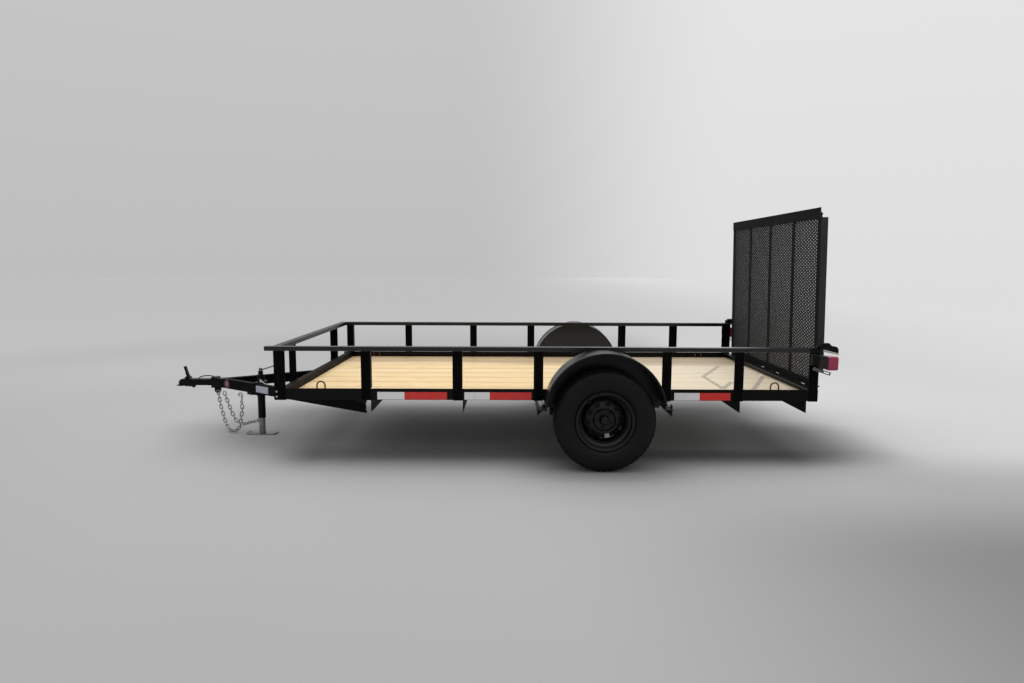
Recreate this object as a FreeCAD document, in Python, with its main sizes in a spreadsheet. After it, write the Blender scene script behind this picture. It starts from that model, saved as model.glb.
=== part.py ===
import FreeCAD, Part
import Sketcher
import os, math, re, sys

# Single-axle utility trailer: angle-iron bed with a lengthwise plank deck,
# square top rail on posts, A-frame tongue with ball coupler and screw jack,
# half-round fenders and a fold-down mesh ramp gate.
# Frame: +X to the rear, +Y to the right-hand side, +Z up, ground at Z = 0,
# origin at the middle of the footprint. Millimetres.

os.makedirs("parts", exist_ok=True)
doc = FreeCAD.newDocument("utility_trailer")
sheet = doc.addObject("Spreadsheet::Sheet", "dims")
V = {}


def cell(alias, value, note=""):
    r = len(V) + 1
    V[alias] = float(value)
    sheet.set("A%d" % r, alias)
    sheet.set("B%d" % r, repr(float(value)))
    sheet.set("C%d" % r, note)
    sheet.setAlias("B%d" % r, alias)


# ---- bed
cell("bed_front", -1304.0, "front end of the side rails")
cell("bed_len", 3614, "length of the side rails")
cell("bed_half", 978, "half width over the side rails")
cell("rail_low", 432, "underside of the side rails")
cell("rail_tall", 76.2, "tall leg of the rail angle")
cell("rail_leg", 50.8, "flat leg of the rail angle")
cell("rail_wall", 4.8, "rail wall")
cell("rail_top", 508.2, "upper edge of the side rails")
cell("nose_rail", 46.7, "depth of the front cross rail")
cell("nose_in", 81.0, "inner face of the front cross rail, from the bed front")
cell("cross_wall", 4.8, "crossmember wall")
cell("cross_low", 352, "underside of the crossmembers")
# ---- deck
cell("board_pitch", 221.5)
cell("board_gap", 5.5)
cell("board_thick", 25.4)
cell("deck_low", 436.8, "underside of the deck boards")
# ---- upper rail and posts
cell("tube_wide", 50.8)
cell("tube_tall", 29.4)
cell("tube_low", 758.6, "underside of the top rail")
cell("tube_over", 60, "top rail in front of the bed front")
cell("post_wide", 63.5)
cell("post_leg", 50.8)
cell("post_wall", 4.8)
# ---- tongue
cell("tongue_tall", 76.2)
cell("tongue_low", 336, "underside of the tongue beams")
cell("tongue_flange", 35.8)
cell("tongue_web", 4.8)
cell("tongue_lip", 6.4)
cell("tongue_angle", 34.8, "angle of each beam to the centre line")
cell("apex_from_bed", 770, "where the outer faces of the beams meet, in front of the bed front")
# ---- axle and wheels
cell("axle_from_bed", 2180)
cell("wheel_rad", 331.5)
cell("wheel_mid", 1100, "middle of the tyre from the centre line")
cell("tyre_wide", 203)
cell("rim_seat", 177.8)
cell("axle_rad", 30.2)
cell("spring_mid", 880, "middle of the springs from the centre line")
cell("spring_wide", 44.5)
cell("spring_span", 641)
cell("spring_arc", 1240, "inside radius of the main leaf")
# ---- fenders
cell("fender_rad", 388)
cell("fender_cz", 386)
cell("fender_in", 984)
cell("fender_out", 1211)
cell("fender_wall", 2.5)
# ---- gate
cell("gate_axis_x", 2327.5, "hinge axis")
cell("gate_axis_z", 490)
cell("gate_half", 920)
cell("gate_top", 1712)
cell("gate_low", 508)
cell("gate_leg", 50.8)
cell("gate_wall", 4.8)
cell("gate_deep", 46, "depth of the outer legs of the gate's sides")
cell("gate_lean", 1.1, "forward lean of the closed gate, degrees")
# ---- jack
cell("jack_x", -1684)
cell("jack_y", -172)
cell("jack_rad", 28.6)
cell("leg_rad", 24.1)
cell("foot_long", 234)
cell("foot_thick", 5)

names = sorted(V, key=len, reverse=True)


def ex(e):
    """An expression over the sheet, from numbers and aliases."""
    e = str(e)
    return re.sub(r"(?<![A-Za-z_.])(" + "|".join(names) + r")(?![A-Za-z_])", r"dims.\1", e)


def val(e):
    """The same expression as a number."""
    e = str(e)
    toks = re.findall(r"[A-Za-z_]+|[0-9.]+|[-+*/()]", e)
    pos = [0]

    def atom():
        t = toks[pos[0]]
        pos[0] += 1
        if t == "(":
            v = add()
            pos[0] += 1
            return v
        if t == "-":
            return -atom()
        if t == "+":
            return atom()
        if t[0].isalpha():
            return V[t]
        return float(t)

    def mul():
        v = atom()
        while pos[0] < len(toks) and toks[pos[0]] in "*/":
            t = toks[pos[0]]
            pos[0] += 1
            w = atom()
            v = v * w if t == "*" else v / w
        return v

    def add():
        v = mul()
        while pos[0] < len(toks) and toks[pos[0]] in "+-":
            t = toks[pos[0]]
            pos[0] += 1
            w = mul()
            v = v + w if t == "+" else v - w
        return v

    return add()


def put(o, x, y, z, rot=None):
    if rot is not None:
        o.Placement = FreeCAD.Placement(FreeCAD.Vector(0, 0, 0), rot)
    for k, e in (("x", x), ("y", y), ("z", z)):
        o.setExpression("Placement.Base." + k, ex(e))


def box(x0, x1, y0, y1, z0, z1):
    o = doc.addObject("Part::Box", "Box")
    for p, a, b in (("Length", x0, x1), ("Width", y0, y1), ("Height", z0, z1)):
        o.setExpression(p, ex("(%s) - (%s)" % (b, a)))
    put(o, x0, y0, z0)
    return o


def rod(rad, length, x, y, z, axis="Z", rot=None):
    """A cylinder whose base centre is at x, y, z and which runs along +axis."""
    o = doc.addObject("Part::Cylinder", "Rod")
    o.setExpression("Radius", ex(rad))
    o.setExpression("Height", ex(length))
    if rot is None:
        rot = {"Z": FreeCAD.Rotation(), "X": FreeCAD.Rotation(FreeCAD.Vector(0, 1, 0), 90),
               "Y": FreeCAD.Rotation(FreeCAD.Vector(1, 0, 0), -90)}[axis]
    put(o, x, y, z, rot)
    return o


def group(kind, *objs):
    o = doc.addObject("Part::MultiFuse", kind)
    o.Shapes = list(objs)
    return o


def fuse(*objs):
    return group("Fuse", *objs)


def cut(a, b):
    o = doc.addObject("Part::Cut", "Cut")
    o.Base = a
    o.Tool = b
    return o


def several(*objs):
    o = doc.addObject("Part::Compound", "Set")
    o.Links = list(objs)
    return o


NODES = []


def node(o, label):
    o.Label = label
    NODES.append(o)
    return o


def plane_of(body, role):
    return [f for f in body.Origin.OriginFeatures if f.Role == role][0]


def profile(sk, pts):
    """A closed polygon in a sketch; every corner is held by dimensions bound to the sheet."""
    n = len(pts)
    P = [FreeCAD.Vector(val(a), val(b), 0) for a, b in pts]
    for i in range(n):
        sk.addGeometry(Part.LineSegment(P[i], P[(i + 1) % n]), False)
    for i in range(n):
        sk.addConstraint(Sketcher.Constraint("Coincident", i, 2, (i + 1) % n, 1))
    for i, (a, b) in enumerate(pts):
        for kind, e in (("DistanceX", a), ("DistanceY", b)):
            if abs(val(e)) < 1e-9:
                sk.addConstraint(Sketcher.Constraint("PointOnObject", i, 1, -2 if kind == "DistanceX" else -1))
            else:
                c = sk.addConstraint(Sketcher.Constraint(kind, -1, 1, i, 1, val(e)))
                sk.setExpression("Constraints[%d]" % c, ex(e))


def body_pad(pts, role, length, name="Section"):
    """Profile padded along the normal of an origin plane."""
    b = doc.addObject("PartDesign::Body", "Body")
    sk = b.newObject("Sketcher::SketchObject", name)
    sk.AttachmentSupport = [(plane_of(b, role), "")]
    sk.MapMode = "FlatFace"
    doc.recompute()
    profile(sk, pts)
    p = b.newObject("PartDesign::Pad", "Pad")
    p.Profile = sk
    p.setExpression("Length", ex(length))
    doc.recompute()
    return b


def body_turn(pts, name="Turned"):
    """Profile in the XY plane (x along the axle line, y the radius) turned about the sketch's horizontal axis."""
    b = doc.addObject("PartDesign::Body", "Body")
    sk = b.newObject("Sketcher::SketchObject", name)
    sk.AttachmentSupport = [(plane_of(b, "XY_Plane"), "")]
    sk.MapMode = "FlatFace"
    doc.recompute()
    profile(sk, pts)
    r = b.newObject("PartDesign::Revolution", "Turn")
    r.Profile = sk
    r.ReferenceAxis = (sk, ["H_Axis"])
    r.Angle = 360
    doc.recompute()
    return b


BF = "bed_front"
# =====================================================================
# Bed frame
# =====================================================================
# Side rail: angle section, tall leg outside, flat leg inward at the bottom.
# Sketch on YZ: x of the sketch is Y, y is Z; padded along X.
def side_rail(sign, label):
    s = "" if sign > 0 else "-"
    pts = [("%sbed_half" % s, "rail_low"), ("%sbed_half" % s, "rail_top"),
           ("%s(bed_half - rail_wall)" % s, "rail_top"),
           ("%s(bed_half - rail_wall)" % s, "rail_low + rail_wall"),
           ("%s(bed_half - rail_leg)" % s, "rail_low + rail_wall"),
           ("%s(bed_half - rail_leg)" % s, "rail_low")]
    b = body_pad(pts, "YZ_Plane", "bed_len")
    put(b, BF, 0, 0)
    return node(b, label)


side_rail(-1, "left_side_rail")
side_rail(1, "right_side_rail")

RW = "bed_half - rail_wall"
RL = "bed_half - rail_leg"
NI = BF + " + nose_in"
NO = BF + " + nose_in - nose_rail"
# Front cross rail: channel with its web inward, standing on the side rails' flat legs.
node(fuse(box(NI + " - rail_wall", NI, "-(%s)" % RW, RW, "deck_low", "rail_top"),
          box(NO, NI, "-(%s)" % RL, RL, "rail_low", "rail_low + 6"),
          box(NI + " - rail_wall", NI, "-(%s)" % RL, RL, "rail_low", "deck_low"),
          box(NO, NI, "-(%s)" % RW, RW, "rail_top - 5", "rail_top")), "front_cross_rail")
# Rear cross rail: angle, tall leg to the rear, flat leg over the ends of the boards.
RE = BF + " + bed_len"
node(fuse(box(RE + " - rail_wall", RE, "-(%s)" % RW, RW, "deck_low", "rail_top"),
          box(RE + " - rail_leg", RE, "-(%s)" % RW, RW, "rail_top - rail_wall", "rail_top")), "rear_cross_rail")

# Crossmembers: angle section hung under the side rails, flat leg coped up between them.
CM = [646.0, 1257.8, 1751.4, 2622.5, 3101.7, 3543.4]
cms = []
for i, c in enumerate(CM):
    nm = "cross_%s" % "abcdef"[i]
    x = BF + " + %s" % c
    cms.append(fuse(box(x + " - cross_wall", x, "-bed_half", "bed_half", "cross_low", "rail_low"),
                    box(x + " - cross_wall", x, "-(%s)" % RL, RL, "rail_low", "deck_low"),
                    box(x + " - rail_leg", x, "-(%s)" % RL, RL, "deck_low - cross_wall", "deck_low")))
node(several(*cms), "crossmembers")

# Deck: boards laid lengthwise between the cross rails.
bx0, bx1 = NI + " + 2", RE + " - rail_wall - 2"
boards = []
edges = [("-(bed_half - rail_wall) + 3", "-4 * board_pitch - board_gap / 2")]
for k in range(-4, 4):
    edges.append(("%d * board_pitch + board_gap / 2" % k, "%d * board_pitch - board_gap / 2" % (k + 1)))
edges.append(("4 * board_pitch + board_gap / 2", "bed_half - rail_wall - 3"))
for a, b in edges:
    boards.append(box(bx0, bx1, a, b, "deck_low", "deck_low + board_thick"))
# the boards stop short of the rear rail's flat leg in height, so they run under it
node(several(*boards), "deck_boards")

# =====================================================================
# Top rail and posts
# =====================================================================
TO = "bed_half + post_wall"
TI = "bed_half + post_wall - tube_wide"
TF = BF + " - tube_over"
# The front rail stands on the front posts; the left rail runs on in front of it.
TR = BF + " - 16.5"


def tube_box(x0, x1, y0, y1):
    return box(x0, x1, y0, y1, "tube_low", "tube_low + tube_tall")


def bore_box(x0, x1, y0, y1):
    return box(x0, x1, y0, y1, "tube_low + 3", "tube_low + tube_tall - 3")


node(cut(tube_box(TF, RE, "-(%s)" % TO, "-(%s)" % TI), bore_box(TF + " + 3", RE + " + 5", "-(%s) + 3" % TO, "-(%s) - 3" % TI)), "left_top_rail")
node(cut(tube_box(TR, RE, TI, TO), bore_box(TR + " + 3", RE + " + 5", "(%s) + 3" % TI, "(%s) - 3" % TO)), "right_top_rail")
node(cut(tube_box(TR, TR + " + tube_wide", "-(%s)" % TI, TI), bore_box(TR + " + 3", TR + " + tube_wide - 3", "-(%s) - 5" % TI, "(%s) + 5" % TI)), "front_top_rail")

# Posts: angle section, wide leg outside against the rail, narrow leg inward above it on the rear edge.
POSTS = [(0.0, 76.2), (578.3, 641.8), (1186.0, 1249.5), (1724.7, 1788.2), (2575.5, 2639.0), (3054.5, 3118.0), (3550.5, 3614.0)]


def post_row(sign, label):
    out = []
    for a, b in POSTS:
        if sign > 0 and a == 0.0:
            a, b = 30.0, 99.5
        x0, x1 = BF + " + %s" % a, BF + " + %s" % b
        if sign < 0:
            leg = box(x0, x1, "-(bed_half + post_wall)", "-bed_half", "rail_low - 3", "tube_low")
            w = x0 + " + post_wall" if a == 0.0 else x1
            web = box(w + " - post_wall", w, "-bed_half", "-(bed_half + post_wall - post_leg)", "rail_top", "tube_low")
        else:
            leg = box(x0, x1, "bed_half", "bed_half + post_wall", "rail_low - 3", "tube_low")
            web = box(x1 + " - post_wall", x1, "bed_half + post_wall - post_leg", "bed_half", "rail_top", "tube_low")
        out.append(fuse(leg, web))
    return node(several(*out), label)


post_row(-1, "left_posts")
post_row(1, "right_posts")
# Front posts: on the outer face of the front cross rail.
fp = []
for s in (-1, 1):
    y0 = "%d * 573 - post_wide / 2" % s
    y1 = "%d * 573 + post_wide / 2" % s
    x1 = NO
    x0 = NO + " - post_leg"
    if s < 0:
        webb = box(x0, x1, y0, y0 + " + post_wall", "deck_low", "tube_low")
    else:
        webb = box(x0, x1, y1 + " - post_wall", y1, "deck_low", "tube_low")
    fp.append(fuse(box(x0, x0 + " + post_wall", y0, y1, "deck_low", "tube_low"), webb))
node(several(*fp), "front_posts")

# =====================================================================
# Tongue
# =====================================================================
AX = BF + " - apex_from_bed"
ca = math.cos(math.radians(V["tongue_angle"]))
sa = math.sin(math.radians(V["tongue_angle"]))


def tongue(sign, label):
    """Channel, web outside, flanges inward, from the apex to the first crossmember."""
    zl, zh = "tongue_low", "tongue_low + tongue_tall"
    n = 1 if sign < 0 else -1
    # local profile on YZ, inward is +n
    pts = [("0", zl), ("%d * tongue_flange" % n, zl), ("%d * tongue_flange" % n, zl + " + tongue_lip"),
           ("%d * tongue_web" % n, zl + " + tongue_lip"), ("%d * tongue_web" % n, zh + " - tongue_lip"),
           ("%d * tongue_flange" % n, zh + " - tongue_lip"), ("%d * tongue_flange" % n, zh), ("0", zh)]
    b = body_pad(pts, "YZ_Plane", "2000")
    b.Placement = FreeCAD.Placement(FreeCAD.Vector(0, 0, 0), FreeCAD.Rotation(FreeCAD.Vector(0, 0, 1), sign * V["tongue_angle"]))
    b.setExpression("Placement.Base.x", ex(AX))
    if sign < 0:
        side = box(AX + " - 300", AX + " + 2200", "-1", "400", zl + " - 10", zh + " + 10")
    else:
        side = box(AX + " - 300", AX + " + 2200", "-400", "1", zl + " - 10", zh + " + 10")
    rear = box(BF + " + 602", BF + " + 1400", "-1500", "1500", zl + " - 10", zh + " + 10")
    nose = box(AX + " - 300", AX + " + 45", "-200", "200", zl + " - 10", zh + " + 10")
    # kept inside the outer faces of the rails
    if sign < 0:
        out = box(BF, BF + " + 1400", "-1500", "-bed_half", zl + " - 10", zh + " + 10")
    else:
        out = box(BF, BF + " + 1400", "bed_half", "1500", zl + " - 10", zh + " + 10")
    return node(cut(b, fuse(side, rear, nose, out)), label)


tongue(-1, "left_tongue_beam")
tongue(1, "right_tongue_beam")

# Spacers between the beams and the frame above them: at the front cross rail and at the beams' rear ends.
sp = []
for q in (-1, 1):
    for x0, x1, m, w in ((NO, NI, 585, 40), (BF + " + 540", BF + " + 602", 952, 25)):
        a, b = ("%d" % (q * m - w), "%d" % (q * m + w))
        sp.append(box(x0, x1, a, b, "tongue_low + tongue_tall", "rail_low"))
node(several(*sp), "tongue_spacers")

# Apex bracket: box plate between the beams that the coupler is welded to, with the chain anchor under it.
anchor = rod(24, "22", AX + " - 20", "-11", "tongue_low - 20", "Y")
node(fuse(box(AX + " - 60", AX + " + 44.5", "-34", "34", "tongue_low + 2", "tongue_low + tongue_tall"), box(AX + " - 60", AX + " - 10", "-34", "34", "tongue_low + 60", "tongue_low + tongue_tall + 12"), anchor,
          box(AX + " - 44", AX + " + 4", "-11", "11", "tongue_low - 20", "tongue_low + 4")), "coupler_bracket")

# Coupler: pressed steel housing, domed over the ball, with a flared lip round its open underside.
CX = BF + " - 1117"
CB = CX + " + 47"


def dome(rad, x, z):
    o = doc.addObject("Part::Sphere", "Dome")
    o.setExpression("Radius", ex(rad))
    put(o, x, 0, z)
    return o


shell = fuse(box(CB, AX + " - 60", "-32", "32", "358", "408"),
             rod(32, "16", CB, 0, "358"), dome(32, CB, "374"),
             rod(45, "4", CB + " - 2", 0, "354"),
             box(CB, CX + " + 150", "-40", "40", "354", "358"),
             rod(17, "10", CB + " + 34", 0, "402"))
hollow = fuse(dome(26.2, CB, "374"), rod(26.2, "38", CB, 0, "336"),
              box(CB + " + 34", AX + " - 64", "-27", "27", "340", "403"))
node(cut(shell, hollow), "coupler")
# Latch: lever standing up behind the ball, on two ears; its clamp tongue hangs under the housing.
lev = box("0", "15", "-12", "12", "0", "74")
lev.Placement = FreeCAD.Placement(FreeCAD.Vector(0, 0, 0), FreeCAD.Rotation(FreeCAD.Vector(0, 1, 0), -17))
put(lev, CX + " + 84", "-12", "434")
grip = box("0", "18", "-13", "13", "62", "84")
grip.Placement = FreeCAD.Placement(FreeCAD.Vector(0, 0, 0), FreeCAD.Rotation(FreeCAD.Vector(0, 1, 0), -17))
put(grip, CX + " + 81", "-13", "434")
node(fuse(rod(13, "24", CX + " + 93", "-12", "425.6", "Y"), box(CX + " + 72", CX + " + 116", "-14", "14", "412.3", "424"), lev, grip), "coupler_latch")

# =====================================================================
# Jack
# =====================================================================
jt = rod("jack_rad", "340", "jack_x", "jack_y", "130")
jb = rod("leg_rad + 1.2", "313", "jack_x", "jack_y", "110")
flare = doc.addObject("Part::Cone", "Flare")
flare.setExpression("Radius1", ex("jack_rad + 2"))
flare.setExpression("Radius2", ex("jack_rad + 12"))
flare.Height = 26
put(flare, "jack_x", "jack_y", "tongue_low - 38")
upper = box("jack_x - 20", "jack_x + 38", "jack_y - 88", "jack_y + 40", "tongue_low + tongue_tall", "tongue_low + tongue_tall + 8")
lower = box("jack_x - 30", "jack_x + 49", "jack_y - 88", "jack_y + 40", "tongue_low - 12.8", "tongue_low - 0.2")
node(fuse(cut(fuse(jt, upper, lower, flare), jb), rod(18, "19", "jack_x", "jack_y", "469"), rod(20, "9", "jack_x", "jack_y", "487")), "jack_tube")
# Crank: nut on the head of the screw, a bent arm to the rear and an upright grip.
arm = rod(5, "146", "0", "0", "0", "X")
arm.Placement = FreeCAD.Placement(FreeCAD.Vector(0, 0, 0), FreeCAD.Rotation(FreeCAD.Vector(0, 1, 0), 90 - 18))
put(arm, "jack_x + 5", "jack_y", "506")
node(fuse(rod(13, "24", "jack_x", "jack_y", "496.3"), arm, rod(10, "92", "jack_x + 144", "jack_y", "541")), "jack_crank")
# Pull pin of the swivel bracket, with its ring.
pin = rod(4.2, "58", "0", "0", "0", "X")
pin.Placement = FreeCAD.Placement(FreeCAD.Vector(0, 0, 0), FreeCAD.Rotation(FreeCAD.Vector(0, 1, 0), 90 + 42))
put(pin, "jack_x + 26", "jack_y - 84", "440")
knob = doc.addObject("Part::Sphere", "Knob")
knob.Radius = 8
put(knob, "jack_x + 70", "jack_y - 84", "400")
node(fuse(pin, knob, box("jack_x + 22", "jack_x + 32", "jack_y - 86", "jack_y - 79", "tongue_low + tongue_tall + 8.3", "444")), "jack_pull_pin")
node(cut(rod("leg_rad", "300", "jack_x", "jack_y", "foot_thick"), rod("leg_rad - 3", "300", "jack_x", "jack_y", "foot_thick + 6")), "jack_leg")
# Foot: flat plate with its two ends turned up.
fl = "foot_long / 2"
f0 = box("jack_x - %s + 22" % fl, "jack_x + %s - 22" % fl, "jack_y - 42", "jack_y + 42", "0", "foot_thick")
ends = []
for sgn in (-1, 1):
    e = box("0", "24", "-42", "42", "0", "foot_thick")
    e.Placement = FreeCAD.Placement(FreeCAD.Vector(0, 0, 0), FreeCAD.Rotation(FreeCAD.Vector(0, 1, 0), -24 if sgn > 0 else 24))
    if sgn > 0:
        put(e, "jack_x + %s - 23" % fl, "jack_y - 42", "0.2")
    else:
        put(e, "jack_x - %s + 1" % fl, "jack_y - 42", "0.2 + 9.76")
    ends.append(e)
node(fuse(f0, *ends), "jack_foot")

# =====================================================================
# Axle and springs (slung over the springs), wheels
# =====================================================================
XA = BF + " + axle_from_bed"
WZ = "wheel_rad"
node(fuse(rod("axle_rad", "2 * 960", XA, "-960", WZ, "Y"),
          rod(20, "2 * 1118", XA, "-1118", WZ, "Y")), "axle_tube")


def common(a, b):
    o = doc.addObject("Part::MultiCommon", "Common")
    o.Shapes = [a, b]
    return o


def spring(sign, label):
    """Leaf pack curved upward to two rolled eyes, under the axle; the arc's centre is spring_arc above the pack."""
    y0 = "%d * spring_mid - spring_wide / 2" % sign
    zt = "wheel_rad - axle_rad - 8"
    parts = []
    for i, half in enumerate((316.0, 235.0, 165.0, 100.0)):
        ra = "spring_arc + %s" % (7.0 * (i + 1))
        rb = "spring_arc + %s" % (7.0 * i)
        ring = cut(rod(ra, "spring_wide", XA, y0, zt + " + spring_arc", "Y"),
                   rod(rb, "spring_wide + 4", XA, y0 + " - 2", zt + " + spring_arc", "Y"))
        parts.append(common(ring, box(XA + " - %s" % half, XA + " + %s" % half, y0, y0 + " + spring_wide", zt + " - 60", zt + " + 80")))
    for e in (-1, 1):
        parts.append(cut(rod("15", "spring_wide", XA + " + %s * spring_span / 2" % e, y0, zt + " + 47", "Y"),
                         rod("8.2", "spring_wide + 4", XA + " + %s * spring_span / 2" % e, y0 + " - 2", zt + " + 47", "Y")))
    return node(fuse(*parts), label)


spring(-1, "left_leaf_spring")
spring(1, "right_leaf_spring")
# Hangers: pairs of plates from the side rails down to the spring eyes, with the eye bolts.
hs = []
for s in (-1, 1):
    for e in (-1, 1):
        cx = XA + " + %d * spring_span / 2" % e
        yc = "%d * spring_mid" % s
        zb = "wheel_rad - axle_rad + 16"
        a = box(cx + " - 22", cx + " + 22", yc + " - spring_wide / 2 - 8", yc + " - spring_wide / 2 - 2", zb, "rail_low")
        b = box(cx + " - 22", cx + " + 22", yc + " + spring_wide / 2 + 2", yc + " + spring_wide / 2 + 8", zb, "rail_low")
        if s > 0:
            c = box(cx + " - 40", cx + " + 40", yc + " - spring_wide / 2 - 8", "bed_half - rail_wall", "rail_low - 6", "rail_low")
        else:
            c = box(cx + " - 40", cx + " + 40", "-(bed_half - rail_wall)", yc + " + spring_wide / 2 + 8", "rail_low - 6", "rail_low")
        pin = rod("7.9", "spring_wide + 34", cx, yc + " - spring_wide / 2 - 17", "wheel_rad - axle_rad + 39", "Y")
        hs.append(fuse(a, b, c, pin))
node(several(*hs), "spring_hangers")
# Axle clamps: seat over the pack, tie plate under it and two U-bolts round the axle.
cl = []
for s in (-1, 1):
    yc = "%d * spring_mid" % s
    bits = [box(XA + " - 60", XA + " + 60", yc + " - 40", yc + " + 40", "wheel_rad - axle_rad - 44", "wheel_rad - axle_rad - 36.2"),
            cut(box(XA + " - 25", XA + " + 25", yc + " - 22", yc + " + 22", "wheel_rad - axle_rad - 7.7", "wheel_rad - axle_rad + 8"),
                rod("axle_rad + 0.3", "60", XA, yc + " - 30", WZ, "Y"))]
    for t in (-1, 1):
        yb = yc + " + %d * 29" % t
        for u in (-1, 1):
            bits.append(rod(5.5, "84", XA + " + %d * (axle_rad + 6)" % u, yb, "wheel_rad - axle_rad - 56"))
        bits.append(common(cut(rod("axle_rad + 11.5", "11", XA, yb + " - 5.5", WZ, "Y"), rod("axle_rad + 0.5", "15", XA, yb + " - 7.5", WZ, "Y")),
                           box(XA + " - 60", XA + " + 60", yb + " - 8", yb + " + 8", "wheel_rad - 4", "wheel_rad + 60")))
    cl.append(fuse(*bits))
node(several(*cl), "axle_clamps")


def ring_of(n, pcd, rad, x0, length, phase, kind="rod"):
    """Round or hexagonal bars parallel to the axle line, on a circle; x0 and length along it."""
    out = []
    for i in range(n):
        a = math.radians(phase + 360.0 * i / n)
        if kind == "rod":
            o = doc.addObject("Part::Cylinder", "Rod")
            o.Radius = rad
            o.Height = length
        else:
            o = doc.addObject("Part::Prism", "Hex")
            o.Polygon = 6
            o.Circumradius = rad
            o.Height = length
        o.Placement = FreeCAD.Placement(FreeCAD.Vector(x0, pcd / 2 * math.cos(a), pcd / 2 * math.sin(a)), FreeCAD.Rotation(FreeCAD.Vector(0, 1, 0), 90))
        out.append(o)
    return fuse(*out)


def wheel(sign, pre):
    """Tyre, dished disc rim and hub, turned about the axle line; sketch x is outward."""
    tw, rs = "tyre_wide / 2", "rim_seat"
    tyre = body_turn([("-%s + 27" % tw, rs + " + 1"), ("%s - 27" % tw, rs + " + 1"), ("%s - 27" % tw, rs + " + 14.5"), ("%s - 7" % tw, rs + " + 34"),
                      ("%s - 1.5" % tw, rs + " + 56"), (tw, rs + " + 76"), ("%s - 2.5" % tw, rs + " + 98"), ("%s - 8" % tw, rs + " + 120"),
                      ("%s - 17" % tw, "wheel_rad - 17"), ("%s - 24" % tw, "wheel_rad - 8"), ("%s - 34" % tw, "wheel_rad - 3"), ("%s - 58" % tw, "wheel_rad"),
                      ("-%s + 58" % tw, "wheel_rad"), ("-%s + 34" % tw, "wheel_rad - 3"), ("-%s + 24" % tw, "wheel_rad - 8"), ("-%s + 17" % tw, "wheel_rad - 17"),
                      ("-%s + 8" % tw, rs + " + 120"), ("-%s + 2.5" % tw, rs + " + 98"), ("-%s" % tw, rs + " + 76"), ("-%s + 1.5" % tw, rs + " + 56"),
                      ("-%s + 7" % tw, rs + " + 34"), ("-%s + 27" % tw, rs + " + 14.5")])
    # rim: barrel with a drop centre, bead seats and rolled flanges
    rim = body_turn([("-84", "191"), ("-79", "191"), ("-75", "177.6"), ("-48", "174"), ("-38", "158"), ("22", "158"), ("36", "174"), ("75", "177.6"), ("79", "191"), ("84", "191"),
                     ("86", "188"), ("83", "184"), ("79", "173"), ("40", "170.6"), ("26", "154"), ("-42", "154"), ("-52", "170.6"), ("-79", "173"), ("-83", "184"), ("-86", "188")])
    # disc: flat bolt face, raised ridge, sloping outer cone with round vents, flange inside the barrel
    disc = body_turn([("8", "33"), ("12.5", "33"), ("12.5", "67"), ("24", "76"), ("25", "86"), ("9", "124"), ("-10", "147"), ("-10", "154.2"), ("-40", "154.2"),
                      ("-40", "150"), ("-15", "150"), ("-14.5", "146"), ("4.5", "122"), ("19.5", "85"), ("19", "78"), ("8", "70")])
    vents = ring_of(10, 220.0, 17.0, -30.0, 80.0, 8.0)
    holes = ring_of(5, 114.3, 8.0, 0.0, 30.0, 45.0)
    hub = fuse(body_turn([("-76", "20.6"), ("-76", "44"), ("-40", "48"), ("-8", "48"), ("-4", "70"), ("7.7", "70"), ("7.7", "32.5"), ("36", "31"), ("42", "30"), ("52", "24.5"), ("56", "16"), ("56", "0"), ("24", "0"), ("24", "20.6")]),
               ring_of(5, 114.3, 6.5, 0.0, 38.0, 45.0), ring_of(5, 114.3, 11.2, 12.8, 19.0, 45.0, "hex"))
    rr = cut(fuse(rim, disc), fuse(vents, holes))
    rot = FreeCAD.Rotation(FreeCAD.Vector(0, 0, 1), 90 if sign > 0 else -90)
    for o, nm in ((tyre, "tyre"), (rr, "rim"), (hub, "hub")):
        put(o, XA, "%d * wheel_mid" % sign, WZ, rot)
        node(o, pre + "_" + nm)


wheel(-1, "left")
wheel(1, "right")

# =====================================================================
# Fenders
# =====================================================================


def fender(sign, label):
    """Half-round shell with a flat inner wall and a rolled outer bead."""
    def ring(ro, ri, ya, yb):
        lo = ya if sign > 0 else "-(%s)" % yb
        ln = "(%s) - (%s)" % (yb, ya)
        return cut(rod(ro, ln, XA, lo, "fender_cz", "Y"), rod(ri, "(%s) + 4" % ln, XA, lo + " - 2", "fender_cz", "Y"))
    lo = "fender_in" if sign > 0 else "-(fender_in + fender_wall)"
    wall = rod("fender_rad", "fender_wall", XA, lo, "fender_cz", "Y")
    shell = ring("fender_rad", "fender_rad - fender_wall", "fender_in + fender_wall", "fender_out")
    bead = doc.addObject("Part::Torus", "Bead")
    bead.setExpression("Radius1", ex("fender_rad - 3"))
    bead.Radius2 = 7.5
    put(bead, XA, "%d * (fender_out - 7.5)" % sign, "fender_cz", FreeCAD.Rotation(FreeCAD.Vector(1, 0, 0), 90))
    low = fuse(box(XA + " - 450", XA + " + 1", "-1300", "1300", "fender_cz - 500", "fender_cz + 20.2"),
               box(XA, XA + " + 450", "-1300", "1300", "fender_cz - 500", "fender_cz + 54"))
    return node(cut(fuse(wall, shell, bead), low), label)


fender(-1, "left_fender")
fender(1, "right_fender")
# Outriggers: angle stubs that carry the fender ends, in line with the crossmembers.
def gusset(x, dx, sign, y, z0, z1):
    """Triangular plate in the plane Y = const: upright edge at x, top edge toward x + dx."""
    b = body_pad([(x, z1), (x, z0), (x + " + %s" % dx, z1)], "XZ_Plane", "4")
    put(b, 0, "%d * %s + 2" % (sign, y), 0)
    return b


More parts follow.
